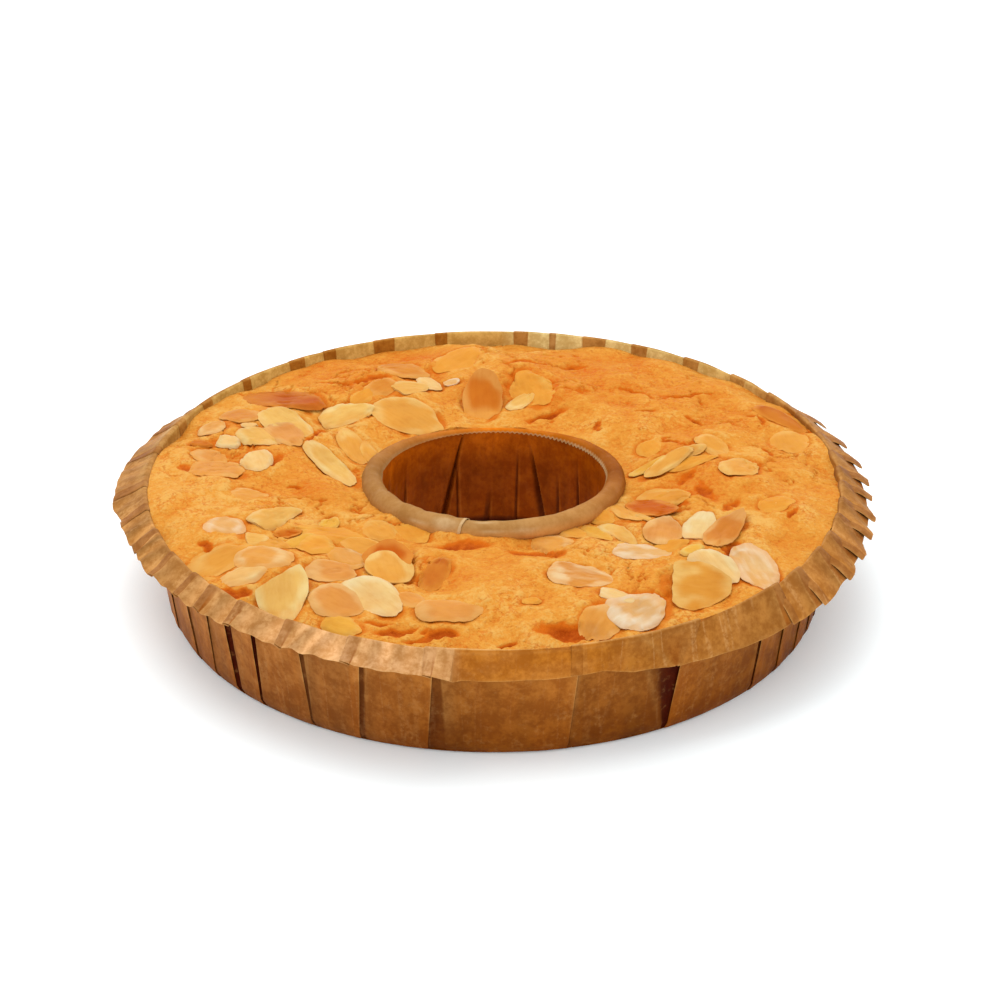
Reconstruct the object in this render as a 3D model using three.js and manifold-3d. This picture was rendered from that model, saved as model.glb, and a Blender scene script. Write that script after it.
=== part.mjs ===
// Almond torte: a ring cake strewn with flaked almonds, in the pleated paper case it was baked in,
// with a paper tube through its middle. Millimetres, +Z up, origin on the floor under the hole's centre.
import * as THREE from "three";
import Module from "manifold-3d";

// Paper case: a flat ring base, a pleated wall that flares upwards, and a brim folded out over its top.
// The brim's droop is in degrees: it spreads at the left and right and hangs steeper at the front and back
const PAPER = 0.6;
const CASE_HEIGHT = 38.2;
const CASE_BASE_RADIUS = 104;
const CASE_TOP_RADIUS = 108.6;
const FOLD_RADIUS = 1.4;
const BRIM_WIDTH = { sides: 10.5, ends: 8.5 };
const BRIM_DROOP = { sides: 32, ends: 72 };
const BRIM_FLARE = 6;
const PLEAT_DEPTH = { base: 0.3, top: 1.4 };
const PLEAT_STEP = 0.8;
const PANEL_STRIDE = 7;
const WALL_TOP = CASE_HEIGHT - FOLD_RADIUS - PAPER;
const WALL_SHARES = [0, 1 / 2, 1];
const FOLD_SHARES = [1 / 3, 2 / 3, 1];

// Where each pleat's fold stands, in degrees from +X, counterclockwise
const PLEATS = [
  1, 7, 14, 22, 31, 40, 51, 62, 71, 79, 85, 100, 111, 122, 129, 141, 152, 161, 172, 184, 193, 201, 210, 217,
  223, 229, 239, 249, 261, 282, 299, 318, 325, 332, 338, 344, 350, 356,
];
// Pleats between these headings are proud on their clockwise side, and the others on their other side
const CLOCKWISE_PLEATS = { from: 200, to: 290 };

// Centre tube: a plain paper cylinder whose top edge is rolled outwards into a bead, which is fat at the
// front and sides, thins out towards the back and leans a little. Its height is that of its middle
const TUBE_RADIUS = 36;
const BEAD_BORE = 35.5;
const BEAD_RADIUS = { front: 3.4, back: 1.1 };
const BEAD_HEIGHT = { front: 37.3, back: 34.1 };
const BEAD_THINNING = 3;
const BEAD_SIDES = 10;
const TUBE_COLUMNS = 44;

// Cake: a ring that fills the case to just under the fold, its crust domed between the tube and the wall
const GAP = 0.45;
const CRUST_INNER_HEIGHT = 35;
const CRUST_CREST = { radius: 77, height: 39.2 };
const CRUST_EDGE_HEIGHT = { sides: 35.6, ends: 33.2 };
const CRUST_RINGS = 12;
const CAKE_COLUMNS = 72;
const CORNER = 1.6;

// Swells of the crust: height, wavelengths along X and Y, and phase
const SWELLS = [
  { height: 0.8, x: 62, y: 71, phase: 0.6 },
  { height: 0.6, x: -41, y: 36, phase: 2.1 },
  { height: 0.45, x: 27, y: 33, phase: 4.0 },
];
// Sunken spots where the crust has cracked: place, radius and depth
const DIPS = [
  { x: 20, y: -96, radius: 10, depth: 2.6 },
  { x: -24, y: -95, radius: 11, depth: 2.2 },
  { x: -58, y: -50, radius: 8, depth: 1.8 },
  { x: 18, y: 46, radius: 9, depth: 1.6 },
  { x: 26, y: 80, radius: 7, depth: 1.6 },
  { x: -57, y: 32, radius: 8, depth: 1.5 },
  { x: 66, y: 12, radius: 8, depth: 1.4 },
];

// Flaked almonds: thin egg-shaped slices, some broken off straight at the blunt end
const FLAKE_THICKNESS = 1.1;
const FLAKE_SIDES = 10;
const FLAKE_TAPER = 0.22;
const FLAKE_SINK = 0.5;
const FLAKE_STACK = 0.2;
const FLAKE_STACK_MOST = 2;
const FLAKE_OVERLAP = 0.25;
const FLAKE_FOOTING = 5;
const ROLL_SPREAD = 5;

// Each flake: x, y, length, width, heading of its tip, lean of its far edge upwards, share broken off
const FLAKES = [
  // the drift on the back left
  [-71, 54, 28, 10, -35, 12, 0],
  [-83.5, 38, 17, 12.5, -45, 6, 0],
  [-70, 40, 29, 13, -55, 10, 0],
  [-92.5, 30, 11, 9, -40, 4, 0],
  [-86.5, 19.5, 11, 6, -30, 8, 0.2],
  [-95, 20.5, 9, 3.5, -25, 6, 0],
  [-91.5, 12, 14, 9, -35, 5, 0],
  [-88, 0.5, 20, 13, -30, 5, 0],
  [-75.5, 4.5, 13, 11, -70, 6, 0.1],
  [-76.5, 21, 16, 11, -50, 8, 0],
  [-68, 24, 20, 13, -60, 8, 0.1],
  [-52, 5.5, 31, 9, -55, 5, 0],
  [-49, 41.5, 21, 13, 25, 10, 0],
  [-28.5, 41.5, 27, 18, -38, 10, 0],
  [-45, 20, 26, 11, -70, 5, 0],
  [-44, 54, 13, 7, 60, 12, 0],
  [-31.5, 75, 20, 13, -20, 12, 0],
  [-37.5, 60, 15, 11, 50, 10, 0],
  [-29, 60, 16, 10, 30, 12, 0.2],
  [-23, 66, 12, 6, -50, 10, 0],
  [-12.5, 86, 25, 12, 52, 10, 0],
  [-14.5, 65.5, 6, 4, 20, 10, 0],
  [-4, 54.5, 22, 14, 90, 28, 0],
  [12.5, 60.5, 23, 16, 100, 14, 0],
  [9, 54, 13, 7, 50, 10, 0],
  // the drift on the front left
  [-76, -16.5, 12, 9, 0, 4, 0],
  [-67, -33, 19, 10, 40, 8, 0.1],
  [-81, -40, 14, 11, -40, 4, 0],
  [-50, -32, 8, 6, 70, 8, 0],
  [-49.5, -40.5, 22, 13, -10, 5, 0],
  [-34.5, -37.5, 14, 11, -60, 4, 0],
  [-24.5, -38, 14, 11, -60, 4, 0],
  [-71.5, -47, 9, 8, 0, 8, 0.2],
  [-52.5, -50.5, 15, 11, -40, 6, 0],
  [-81, -57, 20, 14, 20, 6, 0],
  [-68, -59, 20, 13, -20, 8, 0],
  [-43, -56, 16, 11, -60, 8, 0],
  [-61, -72.5, 27, 16, -80, 10, 0.25],
  [-47.5, -66, 17, 13, -30, 12, 0],
  [-31, -48.5, 22, 13, -75, 22, 0],
  [-31, -62, 26, 13, -65, 13, 0],
  [-18, -66.5, 21, 10, 65, 14, 0],
  [-44.5, -82, 20, 15, -35, 8, 0],
  [-34.5, -79, 24, 14, -45, 8, 0],
  [-23.5, -82.5, 12, 8, -40, 5, 0],
  [-13, -87.5, 19, 13, 8, 6, 0],
  // the drift on the front right
  [25.5, -68.5, 20, 14, -15, 6, 0],
  [31.5, -92, 16, 11, 60, 8, 0],
  [35.5, -80, 12, 8, -20, 8, 0.1],
  [41.5, -86, 22, 15, 45, 8, 0],
  [18, -43, 13, 9, -10, 6, 0],
  [33, -27.5, 12, 7, -50, 8, 0],
  [31.5, -39.5, 18, 6, -62, 6, 0],
  [37.5, -42, 20, 6, -58, 6, 0],
  [40.5, -26, 22, 8, -75, 10, 0],
  [45, -54, 16, 10, -15, 10, 0.2],
  [49.5, -23, 21, 11, -65, 22, 0],
  [54, -13, 18, 10, -12, 6, 0],
  [51.5, -41.5, 20, 12, 82, 14, 0],
  [63, -40, 22, 10, 75, 16, 0],
  [70, -43, 27, 10, 62, 16, 0],
  [59, -57, 8, 5, 30, 8, 0],
  [65, -64.5, 18, 14, -60, 10, 0],
  [59.5, -72.5, 23, 18, -30, 16, 0.25],
  [77.5, -62.5, 26, 13, -78, 12, 0],
  // the few strewn along the right
  [87.5, -24, 12, 10, 20, 3, 0],
  [49, 5.5, 16, 4, 40, 10, 0],
  [56, 5, 22, 7, 38, 10, 0],
  [50.5, 17.5, 10, 9, -70, 5, 0],
  [71, 16.5, 16, 9, -60, 8, 0],
  [78, -0.5, 17, 13, 80, 8, 0],
  [96, 23, 16, 13, -80, 4, 0],
  [94.5, 38, 23, 9, -42, 6, 0],
];

// Seeded draws for how each flake rolls about its own length
const DRAW_SEED = 20411;
const DRAW_FACTOR = 16807;
const DRAW_MODULUS = 2147483647;

const SPONGE = new THREE.MeshStandardMaterial({ color: 0xf0a850, roughness: 0.85, metalness: 0 });
const CASE_PAPER = new THREE.MeshStandardMaterial({ color: 0x9a6635, roughness: 0.5, metalness: 0 });
const TUBE_PAPER = new THREE.MeshStandardMaterial({ color: 0x8a5a26, roughness: 0.45, metalness: 0 });

const wasm = await Module();
wasm.setup();

const radians = THREE.MathUtils.degToRad;
const lerp = THREE.MathUtils.lerp;
const smoothstep = THREE.MathUtils.smoothstep;

// Evenly spaced angles round the full turn
function evenTurn(count) {
  return Array.from({ length: count }, (_, k) => (2 * Math.PI * k) / count);
}

// A closed ring: the profile, a counterclockwise loop of [radius, height], is carried round +Z
function ringGeometry(angles, profileAt) {
  const loops = angles.map((angle) => profileAt(angle));
  const points = loops[0].length;
  const positions = loops.flatMap((loop, k) =>
    loop.flatMap(([radius, height]) => [radius * Math.cos(angles[k]), radius * Math.sin(angles[k]), height]),
  );
  const triangles = [];
  for (let k = 0; k < angles.length; k++) {
    const next = (k + 1) % angles.length;
    for (let j = 0; j < points; j++) {
      const up = (j + 1) % points;
      const [a, b, c, d] = [k * points + j, next * points + j, next * points + up, k * points + up];
      triangles.push(a, b, c, a, c, d);
    }
  }
  const geometry = new THREE.BufferGeometry();
  geometry.setAttribute("position", new THREE.Float32BufferAttribute(positions, 3));
  geometry.setIndex(triangles);
  return geometry;
}

function solidOf(geometry) {
  const vertProperties = new Float32Array(geometry.getAttribute("position").array);
  const triVerts = new Uint32Array(geometry.index.array);
  return new wasm.Manifold(new wasm.Mesh({ numProp: 3, vertProperties, triVerts }));
}

function geometryOf(solid) {
  const mesh = solid.getMesh();
  const geometry = new THREE.BufferGeometry();
  geometry.setAttribute("position", new THREE.BufferAttribute(mesh.vertProperties, 3));
  geometry.setIndex(new THREE.BufferAttribute(mesh.triVerts, 1));
  return geometry;
}

// The case's outer radius at a height, before its pleats
function wallRadius(height) {
  return lerp(CASE_BASE_RADIUS, CASE_TOP_RADIUS, height / WALL_TOP);
}

// How far round to the left or right a heading is: 1 at the sides, 0 at the front and back
function sideShare(angle) {
  return (1 + Math.cos(2 * angle)) / 2;
}

// The bead's section at a heading: its middle's radius and height, and its own radius
function beadSection(angle) {
  const back = (1 + Math.sin(angle)) / 2;
  const radius = lerp(BEAD_RADIUS.front, BEAD_RADIUS.back, back ** BEAD_THINNING);
  return { circle: BEAD_BORE + radius, height: lerp(BEAD_HEIGHT.front, BEAD_HEIGHT.back, back), radius };
}

// The crust's bounds at a heading: its radius at the bead, and its radius and height at the case's wall
function crustBounds(angle) {
  const bead = beadSection(angle);
  const edgeHeight = lerp(CRUST_EDGE_HEIGHT.ends, CRUST_EDGE_HEIGHT.sides, sideShare(angle));
  return { inner: bead.circle + bead.radius + GAP, edge: wallRadius(edgeHeight) - PAPER - GAP, edgeHeight };
}

// Smooth dome of the crust at a radius and heading
function domeHeight(radius, angle) {
  const { inner, edge, edgeHeight } = crustBounds(angle);
  if (radius < CRUST_CREST.radius) {
    const share = (radius - inner) / (CRUST_CREST.radius - inner);
    return lerp(CRUST_INNER_HEIGHT, CRUST_CREST.height, Math.sin((Math.PI / 2) * share));
  }
  const share = (radius - CRUST_CREST.radius) / (edge - CRUST_CREST.radius);
  return lerp(edgeHeight, CRUST_CREST.height, Math.cos((Math.PI / 2) * share));
}

// The crust's top at a place: the dome with its swells, less its sunken spots
function crustHeight(x, y) {
  let height = domeHeight(Math.hypot(x, y), Math.atan2(y, x));
  for (const swell of SWELLS) {
    height += swell.height * Math.sin(2 * Math.PI * (x / swell.x + y / swell.y) + swell.phase);
  }
  for (const dip of DIPS) {
    height -= dip.depth * (1 - smoothstep(Math.hypot(x - dip.x, y - dip.y), 0, dip.radius));
  }
  return height;
}

function spongeRing() {
  const floor = PAPER + GAP;
  const bore = TUBE_RADIUS + PAPER + GAP;
  const outer = wallRadius(floor) - PAPER - GAP;
  return ringGeometry(evenTurn(CAKE_COLUMNS), (angle) => {
    const bead = beadSection(angle);
    const { inner, edge } = crustBounds(angle);
    const top = Array.from({ length: CRUST_RINGS + 1 }, (_, k) => {
      const radius = lerp(edge, inner, k / CRUST_RINGS);
      return [radius, crustHeight(radius * Math.cos(angle), radius * Math.sin(angle))];
    });
    const lip = top[CRUST_RINGS][1];
    const under = bead.height - bead.radius;
    return [
      [bore, floor],
      [outer - CORNER, floor],
      [outer, floor + CORNER],
      ...top,
      [inner, Math.min(bead.height - bead.radius / 2, lip - GAP)],
      [bead.circle + bead.radius / 2, Math.min(under - GAP, lip - 2 * GAP)],
      [bore, Math.min(under - 2 * GAP, lip - 3 * GAP)],
    ];
  });
}

// The flakes' own room: clear of the bead and of the case's wall
function flakeRoom() {
  const [low, high] = [CRUST_EDGE_HEIGHT.ends / 2, 2 * CRUST_CREST.height];
  return solidOf(
    ringGeometry(evenTurn(CAKE_COLUMNS), (angle) => {
      const { inner, edge, edgeHeight } = crustBounds(angle);
      const foot = wallRadius(low) - PAPER - GAP;
      return [[inner, low], [foot, low], [edge, edgeHeight], [edge, high], [inner, high]];
    }),
  );
}

// One flat slice: an egg-shaped plate round its own middle, its tip along +X
function flakePlate(length, width, broken) {
  const blunt = -(length / 2) * (1 - 2 * broken);
  const half = FLAKE_THICKNESS / 2;
  const positions = [];
  for (const z of [-half, half]) {
    for (const turn of evenTurn(FLAKE_SIDES)) {
      const side = (width / 2) * Math.sin(turn) * (1 - FLAKE_TAPER * Math.cos(turn));
      positions.push(Math.max((length / 2) * Math.cos(turn), blunt), side, z);
    }
  }
  const triangles = [];
  for (let k = 0; k < FLAKE_SIDES; k++) {
    const next = (k + 1) % FLAKE_SIDES;
    triangles.push(k, next, FLAKE_SIDES + next, k, FLAKE_SIDES + next, FLAKE_SIDES + k);
    if (k > 0 && k < FLAKE_SIDES - 1) {
      triangles.push(0, next, k, FLAKE_SIDES, FLAKE_SIDES + k, FLAKE_SIDES + next);
    }
  }
  const geometry = new THREE.BufferGeometry();
  geometry.setAttribute("position", new THREE.Float32BufferAttribute(positions, 3));
  geometry.setIndex(triangles);
  return geometry;
}

// How many earlier flakes lie under this one
function flakesUnder(index) {
  const [x, y, length] = FLAKES[index];
  const under = FLAKES.slice(0, index).filter(
    ([otherX, otherY, otherLength]) =>
      Math.hypot(x - otherX, y - otherY) < FLAKE_OVERLAP * (length + otherLength),
  );
  return Math.min(under.length, FLAKE_STACK_MOST);
}

// A flake laid on the crust: turned to its heading, tipped with the slope, its far edge lifted by its lean,
// then set down until its lowest corner is sunk in the crust
function laidFlake(index, roll) {
  const [x, y, length, width, heading, lean, broken] = FLAKES[index];
  const normal = new THREE.Vector3(
    crustHeight(x - FLAKE_FOOTING, y) - crustHeight(x + FLAKE_FOOTING, y),
    crustHeight(x, y - FLAKE_FOOTING) - crustHeight(x, y + FLAKE_FOOTING),
    2 * FLAKE_FOOTING,
  ).normalize();
  const slope = new THREE.Quaternion().setFromUnitVectors(new THREE.Vector3(0, 0, 1), normal);
  const lift = new THREE.Quaternion().setFromEuler(new THREE.Euler(radians(lean), 0, 0));
  const spin = new THREE.Euler(radians(roll), 0, radians(heading), "ZYX");
  const turn = new THREE.Quaternion().setFromEuler(spin);
  const plate = flakePlate(length, width, broken);
  plate.applyQuaternion(lift.multiply(slope).multiply(turn)).translate(x, y, 0);
  const corners = plate.getAttribute("position");
  let lowest = -crustHeight(x, y);
  for (let k = 0; k < corners.count; k++) {
    lowest = Math.min(lowest, corners.getZ(k) - crustHeight(corners.getX(k), corners.getY(k)));
  }
  return plate.translate(0, 0, FLAKE_STACK * flakesUnder(index) - FLAKE_SINK - lowest);
}

// Seeded draws between -1 and 1, the same on every run
function seededDraws(seed) {
  let state = seed;
  return () => {
    state = (state * DRAW_FACTOR) % DRAW_MODULUS;
    return (2 * state) / DRAW_MODULUS - 1;
  };
}

// The largest outward body alone: hollows that fusing sealed are filled and loose scraps dropped
function wholeBody(solid) {
  return solid.decompose().reduce((best, body) => (body.volume() > best.volume() ? body : best));
}

function cake() {
  const room = flakeRoom();
  const draw = seededDraws(DRAW_SEED);
  let whole = solidOf(spongeRing());
  FLAKES.forEach((_, index) => {
    const flake = solidOf(laidFlake(index, ROLL_SPREAD * draw()));
    whole = whole.add(flake.intersect(room));
  });
  return geometryOf(wholeBody(whole));
}

// Whether the fold at a heading is proud on its clockwise side
function isClockwise(heading) {
  const turned = heading % 360;
  return turned > CLOCKWISE_PLEATS.from && turned < CLOCKWISE_PLEATS.to;
}

// A pleat's fold has one proud side, and the panel on its other side tucks under it
function pleatColumns() {
  const columns = [];
  PLEATS.forEach((fold, k) => {
    const next = k + 1 < PLEATS.length ? PLEATS[k + 1] : PLEATS[0] + 360;
    const start = isClockwise(fold) ? 0 : 1;
    const end = isClockwise(next) ? 1 : 0;
    const [from, to] = [fold + PLEAT_STEP / 2, next - PLEAT_STEP / 2];
    const strides = Math.max(2, Math.round((to - from) / PANEL_STRIDE));
    for (let s = 0; s <= strides; s++) {
      columns.push({ angle: radians(lerp(from, to, s / strides)), proud: lerp(start, end, s / strides) });
    }
  });
  return columns;
}

// The case's paper is one sheet: its outer face from the base up and under the brim, then its inner face back
function caseProfile(angle, proud) {
  const sides = sideShare(angle);
  const droop = radians(lerp(BRIM_DROOP.ends, BRIM_DROOP.sides, sides) + BRIM_FLARE * proud);
  const width = lerp(BRIM_WIDTH.ends, BRIM_WIDTH.sides, sides);
  const face = (inset) => {
    const wall = WALL_SHARES.map((share) => {
      const height = lerp(inset, WALL_TOP, share);
      return [wallRadius(height) - inset + proud * lerp(PLEAT_DEPTH.base, PLEAT_DEPTH.top, share), height];
    });
    const bendMiddle = wallRadius(WALL_TOP) + FOLD_RADIUS + proud * PLEAT_DEPTH.top;
    const fold = FOLD_SHARES.map((share) => {
      const turn = Math.PI - share * (Math.PI / 2 + droop);
      const radius = FOLD_RADIUS + inset;
      return [bendMiddle + radius * Math.cos(turn), WALL_TOP + radius * Math.sin(turn)];
    });
    const [foldRadius, foldHeight] = fold[fold.length - 1];
    const edge = [foldRadius + width * Math.cos(droop), foldHeight - width * Math.sin(droop)];
    return [[TUBE_RADIUS + PAPER + GAP, inset], ...wall, ...fold, edge];
  };
  return [...face(0), ...face(PAPER).reverse()];
}

function paperCase() {
  const proudAt = new Map(pleatColumns().map(({ angle, proud }) => [angle, proud]));
  return ringGeometry([...proudAt.keys()], (angle) => caseProfile(angle, proudAt.get(angle)));
}

// The tube's wall from the floor up, then round the bead from under its outer side to its inner side
function centreTube() {
  return ringGeometry(evenTurn(TUBE_COLUMNS), (angle) => {
    const { circle, height, radius } = beadSection(angle);
    const from = -Math.acos((TUBE_RADIUS + PAPER - circle) / radius);
    const to = 2 * Math.PI - Math.acos((TUBE_RADIUS - circle) / radius);
    const bead = Array.from({ length: BEAD_SIDES + 1 }, (_, k) => {
      const turn = lerp(from, to, k / BEAD_SIDES);
      return [circle + radius * Math.cos(turn), height + radius * Math.sin(turn)];
    });
    return [[TUBE_RADIUS, 0], [TUBE_RADIUS + PAPER, 0], ...bead];
  });
}

function named(name, geometry, material) {
  const mesh = new THREE.Mesh(geometry, material);
  mesh.name = name;
  return mesh;
}

const torte = new THREE.Group();
torte.add(named("cake", cake(), SPONGE));
torte.add(named("paper_case", paperCase(), CASE_PAPER));
torte.add(named("centre_tube", centreTube(), TUBE_PAPER));

export default torte;
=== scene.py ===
"""Almond torte: a ring cake strewn with flaked almonds, in the pleated paper case it was baked in.

Sizes in the classes below are millimetres, +Z up, with the origin on the floor under the hole's centre.
Headings are degrees from +X, counterclockwise, and the front is at 270. Meshes are stored in metres.
"""

from __future__ import annotations

import itertools
import logging
import math
from dataclasses import dataclass, field
from enum import Enum
from typing import Any, Iterable, Mapping, Sequence, Union

import bpy
import numpy as np
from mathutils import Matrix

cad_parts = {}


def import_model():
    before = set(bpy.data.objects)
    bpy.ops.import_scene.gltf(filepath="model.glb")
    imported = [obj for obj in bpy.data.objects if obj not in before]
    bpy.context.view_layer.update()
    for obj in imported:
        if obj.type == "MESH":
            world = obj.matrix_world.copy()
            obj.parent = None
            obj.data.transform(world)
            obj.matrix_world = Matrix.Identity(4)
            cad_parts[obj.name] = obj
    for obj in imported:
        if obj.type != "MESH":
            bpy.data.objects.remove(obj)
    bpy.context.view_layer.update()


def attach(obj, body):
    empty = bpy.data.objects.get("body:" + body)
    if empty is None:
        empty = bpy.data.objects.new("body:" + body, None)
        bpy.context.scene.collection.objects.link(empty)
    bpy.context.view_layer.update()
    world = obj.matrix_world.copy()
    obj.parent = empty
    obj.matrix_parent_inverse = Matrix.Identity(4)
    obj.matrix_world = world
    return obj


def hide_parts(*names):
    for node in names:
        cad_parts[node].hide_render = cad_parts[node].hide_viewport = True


LOG = logging.getLogger("almond_torte")
METRES = 0.001
BODY = "root"

# How much of the studio's light falls on the torte's top, its flakes, its sides and into its hole
TOP_LIGHT = 1.6
FLAKE_LIGHT = 1.7
SIDE_LIGHT = 1.19
HOLE_LIGHT = 0.68

Colour = tuple[float, float, float, float]
Values = Mapping[str, np.ndarray]


def paint(red: int, green: int, blue: int, light: float) -> Colour:
    """Colour that shows as a display colour under a given light.

    Each channel's display share is made linear, to the power 2.4 above its foot, and divided by the light.

    Args:
        red: display value from 0 to 255.
        green: display value from 0 to 255.
        blue: display value from 0 to 255.
        light: the light that falls on the surface.

    Returns:
        The colour to give a shader.
    """
    shares = np.array([red, green, blue]) / 255.0
    linear = np.where(shares <= 0.04045, shares / 12.92, ((shares + 0.055) / 1.055) ** 2.4) / light
    return (float(linear[0]), float(linear[1]), float(linear[2]), 1.0)


def blend(low: Any, high: Any, share: Any) -> Any:
    """Straight blend: low where the share is 0, high where it is 1."""
    return low + (high - low) * share


def tinted(tone: np.ndarray, colour: Any, share: Any) -> np.ndarray:
    """Colours blended towards one colour, or a colour for each point, by a share for each point."""
    return blend(tone, np.array(colour), np.clip(share, 0.0, 1.0)[..., None])


def shaded(tone: Any, level: np.ndarray) -> np.ndarray:
    """Colours made lighter or darker by a level for each point, their last channel kept."""
    return np.array(tone) * np.stack([level, level, level, np.ones_like(level)], axis=-1)


def smooth(low: float, high: float, value: Any) -> Any:
    """Smooth step: 0 below low, 1 above high, and 3t^2 - 2t^3 of the way between."""
    share = np.clip((value - low) / (high - low), 0.0, 1.0)
    return share * share * (3.0 - 2.0 * share)


def turned_from(degrees: Any, heading: Any) -> Any:
    """Degrees from a heading, the short way round: from -180 to 180."""
    return (degrees - heading + 180.0) % 360.0 - 180.0


def ring_place(spot: np.ndarray) -> tuple[np.ndarray, np.ndarray]:
    """Radius and heading of places given across and towards the back."""
    return np.hypot(spot[..., 0], spot[..., 1]), np.degrees(np.arctan2(spot[..., 1], spot[..., 0]))


def oval_share(spot: np.ndarray, oval: Tear | Flake) -> np.ndarray:
    """How far out from an oval's middle each place is, in half lengths and half widths: 1 on its outline."""
    x, y = spot[..., 0] - oval.x, spot[..., 1] - oval.y
    cosine, sine = math.cos(math.radians(oval.heading)), math.sin(math.radians(oval.heading))
    along, across = x * cosine + y * sine, y * cosine - x * sine
    return np.hypot(along / (oval.length / 2), across / (oval.width / 2))


def even_turns(count: int) -> np.ndarray:
    """That many headings spaced evenly round the turn."""
    return np.arange(count) * 360.0 / count


@dataclass(frozen=True)
class Round:
    """Values by heading, straight-blended between their stops and closed round the turn."""

    stops: Mapping[float, float]

    def __call__(self, degrees: Any) -> np.ndarray:
        """The value at each heading."""
        return np.interp(degrees, list(self.stops), list(self.stops.values()), period=360.0)


class Noise:
    """Seeded noise on arrays of points, the same on every run."""

    PRIMES = (73856093, 19349663, 83492791)
    MIXER = 0x9E3779B97F4A7C15
    SEED_STEP = 2654435761
    OCTAVE_STEP = 2.03

    @classmethod
    def cell_values(cls, cells: np.ndarray, seed: int) -> np.ndarray:
        """A fixed random value from 0 to 1 for each whole-number cell, by mixing its bits.

        Args:
            cells: whole numbers, with the axes last.
            seed: picks one of many unlike sets of values.

        Returns:
            One value a cell.
        """
        mixed = np.full(cells.shape[:-1], seed * cls.SEED_STEP % 2**32, dtype=np.uint64)
        for axis in range(cells.shape[-1]):
            mixed ^= cells[..., axis].astype(np.int64).astype(np.uint64) * np.uint64(cls.PRIMES[axis])
            mixed = (mixed ^ (mixed >> np.uint64(29))) * np.uint64(cls.MIXER)
        mixed ^= mixed >> np.uint64(32)
        return (mixed & np.uint64(0xFFFFFFFF)).astype(float) / 2**32

    @classmethod
    def even(cls, points: np.ndarray, seed: int) -> np.ndarray:
        """Noise from -1 to 1: the values of a point's surrounding cells, blended by a quintic step."""
        cells = np.floor(points)
        part = points - cells
        step = part * part * part * (part * (part * 6.0 - 15.0) + 10.0)
        total = np.zeros(points.shape[:-1])
        for corner in itertools.product((0, 1), repeat=points.shape[-1]):
            near = np.where(np.array(corner) == 1, step, 1.0 - step).prod(axis=-1)
            total += near * cls.cell_values(cells + np.array(corner), seed)
        return 2.0 * total - 1.0

    @classmethod
    def fractal(cls, points: np.ndarray, seed: int, octaves: int = 3, gain: float = 0.5) -> np.ndarray:
        """Layers of even noise, each about twice as fine and gain times as high, scaled back to -1 to 1."""
        heights = [gain**octave for octave in range(octaves)]
        layers = [
            height * cls.even(points * cls.OCTAVE_STEP**octave, seed + octave)
            for octave, height in enumerate(heights)
        ]
        return np.sum(layers, axis=0) / sum(heights)


@dataclass(frozen=True)
class Grain:
    """A layer of noise: height, size of its blots in millimetres, seed, octaves and their gain."""

    height: float
    size: float | tuple[float, ...]
    seed: int
    octaves: int = 3
    gain: float = 0.5

    def __call__(self, spot: np.ndarray) -> np.ndarray:
        """The layer's height at each place."""
        return self.height * Noise.fractal(spot / np.array(self.size), self.seed, self.octaves, self.gain)


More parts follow.
